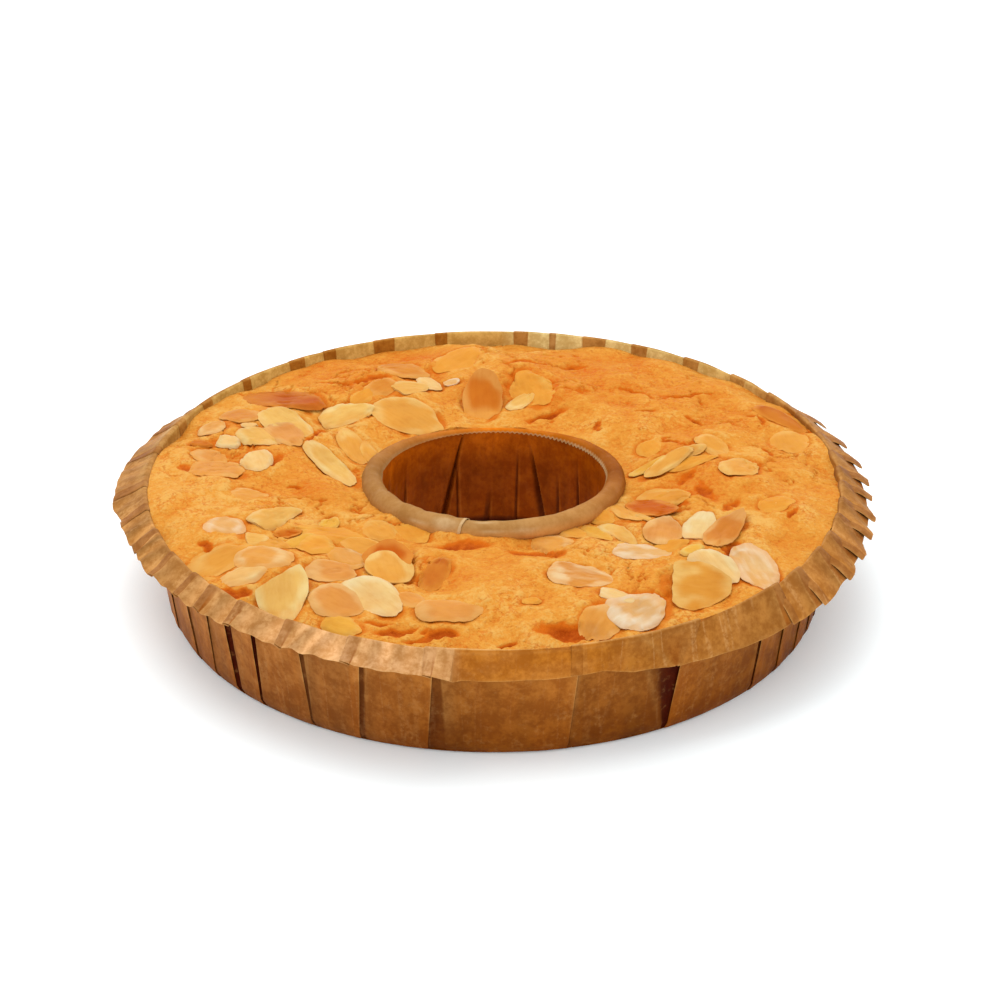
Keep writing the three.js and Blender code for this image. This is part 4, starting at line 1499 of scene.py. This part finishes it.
    # A pleat that points forward, by column: shares of overlap and of gape, layer, plies, lift, crease
    # (where a painted highlight runs along the flap's edge)
    FOLD = np.array(
        [
            (-0.58, 0.0, 2.00, 0.0, 0.0, 0.0),
            (-0.50, 0.0, 2.00, 1.0, 0.0, 0.0),
            (0.00, 0.0, 2.00, 1.0, 0.3, 0.0),
            (0.40, 0.0, 2.00, 1.0, 0.9, 0.2),
            (0.50, 0.0, 1.75, 1.0, 1.0, 1.0),
            (0.44, 0.0, 1.40, 1.0, 0.9, 0.0),
            (0.00, 0.0, 1.00, 1.0, 0.3, 0.0),
            (-0.44, 0.0, 0.90, 1.0, 0.0, 0.0),
            (-0.50, 0.0, 0.50, 1.0, 0.0, 0.0),
            (-0.44, 0.0, 0.10, 1.0, 0.0, 0.0),
            (0.00, 0.0, 0.00, 1.0, 0.0, 0.0),
            (0.44, 0.0, 0.00, 1.0, 0.0, 0.0),
            (0.48, 0.3, 0.00, 1.0, 0.0, 0.0),
            (0.50, 0.6, 0.00, 0.8, 0.0, 0.0),
            (0.50, 0.9, 0.00, 0.3, 0.0, 0.0),
            (0.52, 1.1, 0.00, 0.0, 0.0, 0.3),
        ]
    )

    def panel_shares(self, torn_at: float) -> np.ndarray:
        """How far along its panel each column stands; two columns close in on a torn brim's tear."""
        share = (np.arange(self.panel_columns) + 1.0) / (self.panel_columns + 1.0)
        if torn_at > 0.0:
            first = int(np.searchsorted(share, torn_at)) - 1
            share[first : first + 2] = torn_at - self.tear_width / 2, torn_at + self.tear_width / 2
        return share

    def columns(self) -> Values:
        """The sheet's columns in order round the case, each pleat's fold and then the panel after it.

        A column stands at its heading plus a shift that grows with the pleat's opening. Panels blend from
        the end of one fold to the start of the next.

        Returns:
            By column: heading in degrees, sideways shifts in millimetres, and each value of the fold's rows.
        """

        def listed(name: str) -> np.ndarray:
            """One value a pleat, one below the other."""
            return np.array([[getattr(pleat, name)] for pleat in PLEATS])

        def with_panels(values: np.ndarray, panel: np.ndarray) -> np.ndarray:
            """Each fold's columns followed by those of its panel."""
            return np.concatenate([values, panel], axis=1).ravel()

        def drawn(values: np.ndarray, step: np.ndarray) -> np.ndarray:
            """Fold columns followed by a panel that blends to the next fold's first column."""
            return with_panels(values, blend(values[:, -1:], np.roll(values[:, :1], -1, axis=0), step))

        angles = listed("heading")
        ahead = (np.roll(angles, -1, axis=0) - angles) % 360.0
        forward = (angles > self.forward_pleats[0]) & (angles < self.forward_pleats[1])
        mirrored = self.FOLD[::-1] * [-1, -1, 1, 1, 1, 1]
        fold = np.where(forward[..., None], self.FOLD, mirrored)
        overlap, opened, layer, plies, lift, crease = np.moveaxis(fold, -1, 0)
        share = np.stack([self.panel_shares(pleat.torn_at) for pleat in PLEATS])
        still = np.zeros_like(share)
        gape = np.abs(opened)
        whole = self.FOLD[-1, 1]
        spread = opened - np.where(forward, whole, -whole) * listed("flap_share")
        # The tuck, sunk and painted with shade, ends under the flap's layer and fades across a gape that
        # fades.
        fade = smooth(np.where(listed("fades"), *self.tuck_fades), self.tuck_end, gape)
        tuck = np.where(layer >= self.flap_layer, 0.0, 1.0 - fade)
        number = np.arange(len(PLEATS))[:, None]
        panel = with_panels(number + np.where(layer > 1.0, forward - 1.0, 0.0), number + still)
        panel = panel % len(PLEATS)
        return {
            "heading": with_panels(angles + 0.0 * gape, angles + ahead * share),
            "overlap": drawn(overlap * listed("overlap"), share),
            "base_gape": drawn(spread * listed("base_gape"), share),
            "top_gape": drawn(spread * listed("top_gape"), share),
            "gape": drawn(spread, share),
            "open": with_panels(np.where(gape > 0.0, 1.0, 0.0), still),
            "layer": drawn(layer, smooth(0.0, 1.0, share)),
            "saw": drawn(layer / 2.0, share),
            "plies": with_panels(plies, still),
            "lift": with_panels(lift, still),
            "crease": with_panels(crease, still),
            "lean": drawn(listed("lean") + 0.0 * gape, share),
            "tuck": with_panels(tuck * listed("dark"), still),
            "odd": Noise.cell_values(np.stack([panel, panel], axis=-1), self.odd_seed),
            "panel": panel,
        }

    def profile(self, heading: np.ndarray) -> Values:
        """The unpleated section at each heading: wall, round fold, then a brim that flares as it goes out.

        Args:
            heading: one value a column.

        Returns:
            By row and column: radius, height, the radius and height parts of the outward normal. By row: how
            far up the wall, round the fold and out along the brim it is, each from 0 to 1.
        """
        case = self.shape
        bend = self.bend(heading)
        droop = np.radians(self.droop(heading))
        flare = np.radians(self.flare(heading))
        rise = np.linspace(0.0, 1.0, self.wall_rows)[:, None]
        wall_z = blend(self.foot, case.height - bend, rise)
        tucked, curved = self.foot_curve
        wall_r = case.wall_radius(wall_z) - tucked * (1.0 - np.clip(wall_z / curved, 0.0, 1.0)) ** 2
        part = np.linspace(0.0, 1.0, self.fold_rows + 1)[1:, None]
        turn = math.pi - part * (math.pi / 2 + droop)
        fold_r = wall_r[-1] + bend + bend * np.cos(turn)
        fold_z = wall_z[-1] + bend * np.sin(turn)
        out = np.append(np.linspace(0.0, self.edge_row, self.brim_rows), 1.0)[1:, None]
        slant = droop - flare * out**2
        length = np.diff(np.concatenate([[[0.0]], out]), axis=0) * self.width(heading)
        brim_r = fold_r[-1] + np.cumsum(length * np.cos(slant), axis=0)
        brim_z = fold_z[-1] - np.cumsum(length * np.sin(slant), axis=0)
        none, whole = np.zeros_like, np.ones_like
        return {
            "radius": np.concatenate([wall_r, fold_r, brim_r]),
            "height": np.concatenate([wall_z, fold_z, brim_z]),
            "normal_r": np.concatenate([whole(wall_r), -np.cos(turn), -np.sin(slant)]),
            "normal_z": np.concatenate([none(wall_z), -np.sin(turn), -np.cos(slant)]),
            "rise": np.concatenate([rise, whole(part), whole(out)]),
            "fold": np.concatenate([none(rise), part, whole(out)]),
            "brim": np.concatenate([none(rise), none(part), out]),
        }

    def wall(self) -> Surface:
        """The pleated sheet: the section carried round, its columns shifted sideways and layered."""
        column = self.columns()
        heading = column["heading"]
        row = self.profile(heading)
        radius, height, rise, brim = row["radius"], row["height"], row["rise"], row["brim"]
        gape = blend(column["base_gape"], column["top_gape"], rise)
        gape = blend(gape, column["gape"] * self.brim_gape(heading), brim)
        overlap = column["overlap"] * blend(self.base_overlap, 1.0, rise)
        shift = overlap + gape + column["lean"] * (rise - 0.5)
        degrees = heading + np.degrees(shift / radius)
        spot = polar(radius, degrees, height)
        top_gap = blend(self.ply_gap, self.top_gap(heading), rise)
        gap = blend(top_gap, self.brim_gap(heading), smooth(0.0, 0.7, brim))
        lift = self.flap_lift(heading) * rise**1.5 * (1.0 - 0.5 * brim)
        proud = column["layer"] * gap + column["lift"] * lift
        sunk = column["tuck"] * column["open"] * self.wall_tuck(heading)
        proud -= self.recess * sunk * blend(0.6, 1.0, rise) * (1.0 - smooth(0.86, 1.0, rise))
        folds = self.folds(spot)
        proud += self.fold_height * folds * blend(0.5, 1.0, rise) * (1.0 - smooth(0.7, 0.95, rise))
        proud += self.sway(spot) * smooth(0.0, 0.6, brim)
        swing = np.clip(0.7 + self.wave_swing(spot), 0.0, 1.4)
        wave = swing * np.sin(np.radians(degrees) * self.wave_count + self.wave_drift(spot))
        slow = self.slow_wave(spot)
        ripple = self.ripple(degrees)
        proud += ripple * smooth(0.0, 0.8, brim) * (0.5 * wave + 0.8 * slow)
        teeth = self.saw(heading) * blend(0.5, 1.5, column["odd"]) * (column["saw"] - 0.5)
        frayed = self.fine_fray(spot) + self.slow_fray(spot) + ripple * (0.35 * wave + 0.6 * slow)
        saw = brim * (teeth + frayed)
        radius = radius + row["normal_r"] * proud - row["normal_z"] * saw
        height = height + row["normal_z"] * proud + row["normal_r"] * saw
        middle = polar(radius, degrees, np.maximum(height, self.least_height))
        offset = sheet_normals(middle) * (self.shape.paper / 2)
        film = self.film(heading) * smooth(0.0, 0.4, row["fold"])
        # Crinkle shares, which the paper's finish paints as pale lines of sheen
        creased = self.wall_crinkle(heading) * (1.0 - row["fold"])
        outside = PaperFinish.points(self.outer_tone(column, row, spot, folds), 0.0, creased)
        inner = self.inner_tone(column, row, spot, wave)
        inside = PaperFinish.points(inner, 0.3 * film, self.crinkle(heading) * row["fold"])
        return Surface.sheet((middle + offset, middle - offset), (outside, inside), True)

    def outer_tone(self, column: Values, row: Values, spot: np.ndarray, folds: np.ndarray) -> np.ndarray:
        """Brown wall, deeper at its foot, each panel a little unlike, with painted light and shade on its
        soft folds, across each panel and by heading, painted sheen towards the left, painted highlights on
        the flaps' edges and painted shade over the doubled paper in recesses.

        Args:
            column: values by column.
            row: values by row and column.
            spot: places on the sheet.
            folds: the wall's soft upright folds, which are also painted lighter where they bulge and darker
                where they dip.

        Returns:
            A colour for each point.
        """
        heading, saw = column["heading"], column["saw"]
        cells = np.stack([column["panel"], 0 * column["panel"]], axis=-1)
        panel = blend(0.9, 1.1, Noise.cell_values(cells, self.panel_seed))
        # Painted light and shade: lighter where the soft folds bulge, darker where they dip.
        level = panel + self.wall_mottle(spot) + 0.2 * folds
        # Painted light by each flap's raised edge, painted shade by the tuck at the panel's other end.
        level = level + 0.14 * smooth(0.6, 1.0, saw) - 0.18 * (1.0 - smooth(0.0, 0.35, saw))
        # Painted light and shade by heading: lightest on the left.
        level = level * self.wall_light(heading)
        tone = shaded(tinted(np.array(self.foot_tone), self.wall_tone, smooth(0.0, 0.8, row["rise"])), level)
        # Painted sheen: the wall paler and greyer, most on the left.
        tone = tinted(tone, self.dusty_tone, self.dusty(heading))
        tone = tinted(tone, self.brim_tone, 0.55 * smooth(0.0, 0.3, row["brim"]))
        # Painted highlight along each flap's raised edge
        tone = tinted(tone, self.crease_tone, 0.45 * column["crease"] * smooth(0.05, 0.5, row["rise"]))
        # Painted shade in the pleats' recesses, weaker out on the brim.
        tuck = column["tuck"] * self.wall_tuck(heading)
        return tinted(tone, self.recess_tone, tuck * (1.0 - 0.6 * row["brim"]))

    def inner_tone(self, column: Values, row: Values, spot: np.ndarray, wave: np.ndarray) -> np.ndarray:
        """Tan brim, darker where doubled, golden at the front and filmy at the front left, with painted
        light and shade on its ripples and fanned flaps, a painted highlight on the film, painted backlight
        through the back strip, painted shade in its gussets and along the fold above the strip, and painted
        highlights along the fold's line and the flaps' edges.

        Args:
            column: values by column.
            row: values by row and column.
            spot: places on the sheet.
            wave: the brim's ripples, also painted as light and shade.

        Returns:
            A colour for each point.
        """
        heading = column["heading"]
        # Painted light and shade on the brim's ripples, over a random mottle.
        level = 1.0 + self.brim_mottle(spot) + 0.24 * self.ripple(heading) * wave
        # Painted light towards each fanned flap's raised edge and painted shade towards its tucked end, then
        # painted light by heading.
        level = level + 0.36 * self.fan(heading) * (column["saw"] - 0.5)
        level = level * self.brim_light(heading)
        # Painted light: the strip above the crust at the back glows as if lit through from behind.
        backlit = self.backlit(heading) * (1.0 - smooth(0.05, 0.4, row["brim"]))
        tone = tinted(shaded(self.brim_tone, level), shaded(self.gilt_tone, level), self.gilt(heading))
        pale = self.strip_paleness(heading)
        strip = shaded(tinted(np.array(self.strip_tone), self.strip_pale, pale), self.strip_light(heading))
        tone = tinted(tone, strip, backlit)
        # Painted highlight in patches on the film of the front left lip, which is also glossy.
        film = 0.6 + 0.4 * smooth(-0.2, 0.4, self.film_mottle(spot) + wave * 0.3)
        film = self.film(heading) * film * smooth(0.1, 0.5, row["fold"])
        tone = tinted(tone, shaded(self.film_tone, level), film)
        doubled = self.bands(heading) * column["plies"]
        # Doubled paper is darker: in its own colour on the brim, and with less painted backlight on the
        # strip.
        tone = tinted(tone, self.brim_doubled, doubled * (1.0 - backlit))
        tone = tinted(tone, tinted(np.array(self.strip_doubled), strip, 0.2 * pale), doubled * backlit)
        # Painted shade in the brim's gussets, where the tucked paper lies doubled.
        tone = tinted(tone, self.doubled_tone, 1.4 * column["tuck"] * column["open"] * row["brim"])
        fold = row["fold"] * (1.0 - smooth(0.0, 0.12, row["brim"]))
        # Painted shade along the fold above the backlit strip.
        tone = tinted(tone, self.doubled_tone, 0.7 * self.backlit(heading) * smooth(0.3, 0.6, fold))
        # Painted highlight along the fold's line, and a pale outer edge on the brim.
        line = self.fold_line(heading) * smooth(0.1, 0.45, fold) * (1.0 - smooth(0.55, 0.95, fold))
        edge = 0.35 * smooth(0.96, 1.0, row["brim"])
        # Painted highlight on the flaps' edges over the fold
        crease = 0.5 * column["crease"] * row["fold"]
        return tinted(tone, self.crease_tone, np.maximum(np.maximum(line, edge), crease))

    def base(self) -> Surface:
        """The flat ring that the cake stands on."""
        radius = np.linspace(*self.base_ring, self.base_rows)[:, None]
        degrees = even_turns(self.base_columns)
        top, under = (polar(radius, degrees, height) for height in (self.shape.paper, 0.0))
        attributes = PaperFinish.points(np.broadcast_to(self.foot_tone, (*top.shape[:2], 4)), 0.0, 0.0)
        return Surface.sheet((top, under), (attributes, attributes), True)

    def build(self) -> bpy.types.Object:
        """The dressed case, standing for its solid."""
        surface = Surface.joined([self.wall(), self.base()])
        paper = PaperFinish("case_paper", roughness=0.42)
        piece = surface.piece("pleated_case", paper.material(), self.crisp)
        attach(piece, BODY)
        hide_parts("paper_case")
        return piece


@dataclass(frozen=True)
class Crease:
    """A crease down the tube: headings at its top and foot, where it starts, depth, width at its foot."""

    top: float
    foot: float
    start: float
    depth: float
    spread: float


@dataclass(frozen=True)
class Glint:
    """A painted highlight on the bead: heading, share of the way over, half length, half width, strength."""

    heading: float
    middle: float
    length: float
    width: float
    strength: float


@dataclass
class CentreTube:
    """The paper tube through the middle: a creased wall, and a strip rolled over its top into a bead."""

    shape: TubeShape
    paper: float = 0.2
    columns: int = 720
    wall_rows: int = 34
    bead_rows: int = 20
    creases: tuple[Crease, ...] = (
        Crease(106, 118, -0.15, 1.6, 4.0),
        Crease(110, 109, 0.02, 0.5, 1.5),
        Crease(90, 93, 0.55, 0.9, 3.0),
        Crease(72, 61, 0.05, 1.5, 4.0),
        Crease(77, 78, 0.1, 0.5, 1.5),
        Crease(42, 38, 0.1, 0.7, 2.5),
        Crease(55, 53, 0.3, 0.5, 2.0),
        Crease(142, 144, 0.2, 0.7, 2.5),
        Crease(160, 157, 0.1, 0.7, 3.0),
        Crease(20, 24, 0.2, 0.7, 2.5),
        Crease(182, 186, 0.1, 0.9, 3.0),
        Crease(207, 201, 0.1, 0.9, 3.0),
        Crease(232, 236, 0.2, 0.9, 3.0),
        Crease(262, 257, 0.1, 0.9, 3.0),
        Crease(290, 295, 0.1, 0.9, 3.0),
        Crease(318, 313, 0.2, 0.9, 3.0),
        Crease(345, 350, 0.1, 0.9, 3.0),
    )
    seam: float = 256.5
    seam_lap: float = 5.0
    seam_step: float = 0.4
    seam_slant: float = 4.5
    tooth: float = 1.6
    tooth_depth: Round = Round(
        {0: 0.9, 60: 0.9, 100: 0.5, 125: 0.2, 150: 0.05, 230: 0.1, 250: 0.3, 290: 0.15, 330: 0.6}
    )
    bead_waves: Round = Round(
        {0: 0.12, 90: 0.05, 150: 0.12, 185: 0.4, 250: 0.45, 262: 0.15, 300: 0.12, 330: 0.2}
    )
    glints: tuple[Glint, ...] = (
        Glint(269, 0.455, 9, 0.032, 0.9),
        Glint(267, 0.665, 8, 0.035, 0.7),
        Glint(249, 0.55, 8, 0.16, 0.6),
        Glint(237, 0.47, 7, 0.03, 0.5),
        Glint(283, 0.46, 9, 0.08, 0.45),
    )
    roll_span: tuple[float, float] = (-105.0, 172.0)
    seam_rise: float = 330.0
    seam_bend: float = 14.0
    seam_fray: float = 1.2
    seam_line: float = 1.1
    foot: float = 0.15
    crisp: float = 55.0
    streaks: Grain = Grain(1.0, (4.0, 4.0, 34.0), 141, 4, 0.6)
    frayed_end: Grain = Grain(0.35, 1.0, 151, 2)
    bead_dents: Grain = Grain(1.0, 1.0, 161)
    waves: Grain = Grain(1.0, 5.0, 171, 2)
    bead_light: Round = Round(
        {0: 0.58, 45: 0.88, 90: 1.62, 135: 1.05, 180: 0.82, 225: 0.95, 260: 1.02, 305: 1.1,
         330: 0.95}
    )
    # Share of the bead's front, painted lighter low down and kept from the low side's painted shade
    bead_front: Round = Round({0: 0, 180: 0, 225: 0.4, 255: 1, 290: 1, 315: 0.6, 340: 0})
    bead_back: Round = Round({0: 1, 45: 1, 90: 1, 150: 0.5, 180: 0.25, 270: 0, 315: 0.2, 340: 0.6})
    pinked_light: Round = Round({0: 0.9, 90: 0.6, 130: 0.2, 240: 0.5, 290: 0.3})
    inside_tone: Colour = paint(117, 51, 0, HOLE_LIGHT)
    # Painted light near the tube's top: its golden colour and its share by heading
    golden_tone: Colour = paint(172, 84, 4, HOLE_LIGHT)
    golden: Round = Round({0: 0.3, 35: 0.2, 60: 0.4, 88: 1.0, 105: 0.7, 125: 0.5, 155: 0.8, 180: 0.5})
    # Painted shade in the creases and painted shadow at the tube's foot
    crease_tone: Colour = paint(60, 16, 1, HOLE_LIGHT)
    # Painted highlight on the pale ridges beside the creases
    ridge_tone: Colour = paint(160, 88, 26, HOLE_LIGHT)
    bead_tone: Colour = paint(200, 150, 86, TOP_LIGHT)
    # Warm brown of the bead's back, also painted as shade on its low sides
    warm_tone: Colour = paint(188, 102, 2, 1.25)
    # Pale of the seam, and of the painted highlights on the pinked teeth and the glints
    line_tone: Colour = paint(238, 202, 150, TOP_LIGHT)
    bead_stain: Colour = (0.84, 0.78, 0.68, 1.0)

    def wall(self) -> Surface:
        """A cylinder from under the bead down to the floor, pushed in along creases that widen downwards.

        Each crease leans from its top heading to its foot. It has a sharp side and a soft side, with painted
        shade in its hollow and a pale ridge painted as a highlight beside it. The wall is painted darker
        with shadow at its foot.
        """
        degrees = even_turns(self.columns)
        share = np.linspace(0.0, 1.0, self.wall_rows)[:, None]
        top = self.shape.bead_middle(degrees) + 0.3 * self.shape.bead_radius(degrees)
        height = blend(top, self.foot, share)
        push, dark, ridge = (np.zeros((self.wall_rows, self.columns)) for _ in range(3))
        for crease in self.creases:
            away = turned_from(degrees, blend(crease.top, crease.foot, share))
            spread = blend(0.9, 1.3 * crease.spread, share)
            depth = smooth(crease.start, crease.start + 0.4, share)
            slope = np.where(away > 0.0, smooth(0.0, 1.0, away / spread), smooth(0.0, 0.5, -away))
            push = np.maximum(push, crease.depth * (1.0 - slope) * depth)
            # Share of painted shade in each crease's hollow
            dark = np.maximum(dark, depth * (1.0 - smooth(0.1, 0.7, np.abs(away / spread - 0.35))))
            # Share of a painted highlight on a pale ridge beside each crease
            ridge = np.maximum(ridge, depth * (1.0 - smooth(0.0, 0.9, np.abs(away + 0.9))))
        streaks = self.streaks(polar(self.shape.radius, degrees, height))
        middle = polar(self.shape.radius + 0.2 + 0.9 * push + 0.22 * streaks, degrees, height)
        offset = sheet_normals(middle) * (self.paper / 2)
        tone = shaded(self.inside_tone, 1.0 + 0.35 * streaks + 0.3 * share)
        # Painted light: the tube golden towards its top, most at the back.
        golden = (1.0 - smooth(0.0, 0.4, share + 0.15 * streaks)) * self.golden(degrees)
        tone = tinted(tone, self.golden_tone, golden)
        # Painted highlight on the ridges.
        tone = tinted(tone, self.ridge_tone, 0.45 * ridge)
        # Painted shade in the creases and painted shadow at the tube's foot.
        tone = tinted(tone, self.crease_tone, np.maximum(0.75 * dark, smooth(0.9, 0.96, share)))
        attributes = PaperFinish.points(tone, 0.05, 0.0)
        return Surface.sheet((middle + offset, middle - offset), (attributes, attributes), True)

    def bead(self) -> Surface:
        """A strip rolled over the bead from under its outer side to its inner edge, lapped at its seam.

        The strip starts under its own end and rises by the seam's step. Its inner edge is pinked into teeth,
        whose depth follows the heading.
        """
        shape = self.shape
        turns = np.linspace(self.seam - 360.0 - self.seam_lap, self.seam, self.columns + 1)
        span = np.linspace(0.0, 1.0, self.bead_rows)[:, None]
        own = shape.bead_radius(turns)
        tooth = np.abs((np.radians(turns) * shape.radius / self.tooth) % 1.0 - 0.5) * 2.0
        reach = np.degrees(self.tooth_depth(turns) * (tooth - 0.5) / own)
        rolled = np.radians(blend(*self.roll_span, span) + reach * span**6)
        rise = self.seam_step * smooth(self.seam - self.seam_rise, self.seam, turns)
        circle = shape.bead_circle(turns)
        spot = polar(circle, turns, 0.0)
        dents = self.bead_dents(spot / 7.0 + np.sin(rolled)[..., None] * 0.5)
        thick = own + rise - 0.2 + 0.07 * own * dents + self.bead_waves(turns) * self.waves(spot)
        frayed = self.frayed_end(np.stack([span * 9.0, 0.0 * span], axis=-1))
        slanted = self.seam_slant * (span - 0.5) * smooth(self.seam - self.seam_bend, self.seam, turns)
        lapped = turns + frayed * (turns > self.seam - self.seam_fray) + slanted
        height = shape.bead_middle(turns) + thick * np.sin(rolled)
        middle = polar(circle + thick * np.cos(rolled), lapped, height)
        offset = polar(np.cos(rolled), turns, np.sin(rolled)) * (self.paper / 2)
        dress = self.bead_dress(turns, span, dents)
        return Surface.sheet((middle + offset, middle - offset), (dress, dress), False)

    def bead_dress(self, turns: np.ndarray, span: np.ndarray, dents: np.ndarray) -> Values:
        """Tan roll, warm at the back, painted with shade low on its sides and with light low on its front,
        pale at its seam, with painted highlights at its pinked edge and its glints.

        Args:
            turns: headings along the strip.
            span: shares of the way over the bead.
            dents: the strip's dents at each point.

        Returns:
            What the paper finish reads at each point.
        """
        front = self.bead_front(turns)
        level = self.bead_light(turns) * (1.0 + 0.1 * dents)
        # Painted light on the lower half of the bead's front.
        level = level * (1.0 + 0.5 * front * (1.0 - smooth(0.36, 0.56, span)))
        # Painted shade: the roll's low side warmer and darker, except at the front.
        low = 1.0 - smooth(0.1, 0.42, span)
        warmth = np.maximum(self.bead_back(turns), 0.5 * low * (1.0 - front))
        tone = tinted(shaded(self.bead_tone, level), shaded(self.warm_tone, level), warmth)
        # Painted highlights on the pinked teeth of the inner edge.
        pinked = smooth(0.9, 0.98, span) * self.pinked_light(turns)
        pale = np.maximum(pinked, 0.85 * (np.abs(turns - self.seam) < self.seam_line))
        # Painted highlights along the roll.
        for glint in self.glints:
            along = turned_from(turns, glint.heading) / glint.length
            across = (span - glint.middle) / glint.width + 0.5 * dents
            pale = np.maximum(pale, glint.strength * (1.0 - smooth(0.2, 1.0, np.hypot(along, across))))
        return PaperFinish.points(tinted(tone, self.line_tone, pale), 0.1, 0.0)

    def build(self) -> list[bpy.types.Object]:
        """The dressed wall and bead, standing for the tube's solid."""
        tube_paper = PaperFinish("tube_paper", roughness=0.36, dusting=0.03)
        bead_paper = PaperFinish("bead_paper", roughness=0.45, dusting=0.1, stain=self.bead_stain)
        wall = self.wall().piece("creased_tube", tube_paper.material(), self.crisp)
        bead = self.bead().piece("rolled_bead", bead_paper.material(), self.crisp)
        for piece in (wall, bead):
            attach(piece, BODY)
        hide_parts("centre_tube")
        return [wall, bead]


@dataclass(frozen=True)
class SoftLight:
    """A square area light aimed at the torte: place in metres, side and power."""

    name: str
    place: tuple[float, float, float]
    side: float
    power: float
    colour: tuple[float, float, float]


@dataclass
class Studio:
    """Pale floor, soft light and the camera."""

    floor_side: float = 8.0
    floor_drop: float = 0.0004
    world: float = 1.28
    aim: tuple[float, float, float] = (0.0, 0.0, 0.02)
    key: SoftLight = SoftLight("key_light", (-0.18, 0.3, 1.18), 1.0, 6.3, (1.0, 0.985, 0.96))
    camera_place: tuple[float, float, float] = (0.00196, -0.69668, 0.39400)
    camera_pitch: float = 62.261
    lens: float = 88.77
    sensor: float = 36.0
    crisp: float = 30.0

    @staticmethod
    def placed(data: Any, place: Sequence[float], rotation: Sequence[float]) -> bpy.types.Object:
        """A lamp or a camera, linked at its place."""
        made = bpy.data.objects.new(data.name, data)
        made.location = place
        made.rotation_euler = rotation
        bpy.context.scene.collection.objects.link(made)
        return made

    def floor(self) -> None:
        """A large flat square just under the case."""
        half = self.floor_side / 2 / METRES
        corners = np.array([[-half, -half], [half, -half], [half, half], [-half, half]])
        points = np.concatenate([corners, np.full((4, 1), -self.floor_drop / METRES)], axis=1)
        square = Surface(points, np.array([[0, 1, 2, 3]]))
        piece = square.piece("floor", FloorFinish().material(), self.crisp)

    def light(self) -> None:
        """The area light and an even white world."""
        data = bpy.data.lights.new(self.key.name, "AREA")
        data.size = self.key.side
        data.energy = self.key.power
        data.color = self.key.colour
        away = np.array(self.key.place) - np.array(self.aim)
        pitch = math.atan2(math.hypot(away[0], away[1]), away[2])
        self.placed(data, self.key.place, (pitch, 0.0, math.atan2(away[1], away[0]) + math.pi / 2))
        world = bpy.data.worlds.new("studio_world")
        world.use_nodes = True
        background = world.node_tree.nodes["Background"]
        background.inputs["Color"].default_value = (1.0, 1.0, 1.0, 1.0)
        background.inputs["Strength"].default_value = self.world
        bpy.context.scene.world = world

    def camera(self) -> None:
        """The camera at the photograph's angle, with no shift and no depth of field."""
        data = bpy.data.cameras.new("camera")
        data.lens = self.lens
        data.sensor_width = self.sensor
        rotation = (math.radians(self.camera_pitch), 0.0, 0.0)
        bpy.context.scene.camera = self.placed(data, self.camera_place, rotation)

    def build(self) -> None:
        """Everything round the torte, shown in plain display colours."""
        self.floor()
        self.light()
        self.camera()
        bpy.context.scene.view_settings.view_transform = "Standard"


def main() -> None:
    """Loads the frame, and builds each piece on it."""
    logging.basicConfig(level=logging.INFO, format="%(name)s: %(message)s")
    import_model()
    Studio().build()
    case, tube = CaseShape(), TubeShape()
    crust = CrustShape(case, tube)
    pieces = [SpongeRing(crust).build(), FlakedAlmonds(crust).build(), PaperCase(case).build()]
    pieces += CentreTube(tube).build()
    for piece in pieces:
        LOG.info("%s: %d faces", piece.name, len(piece.data.polygons))


if __name__ == "__main__":
    main()
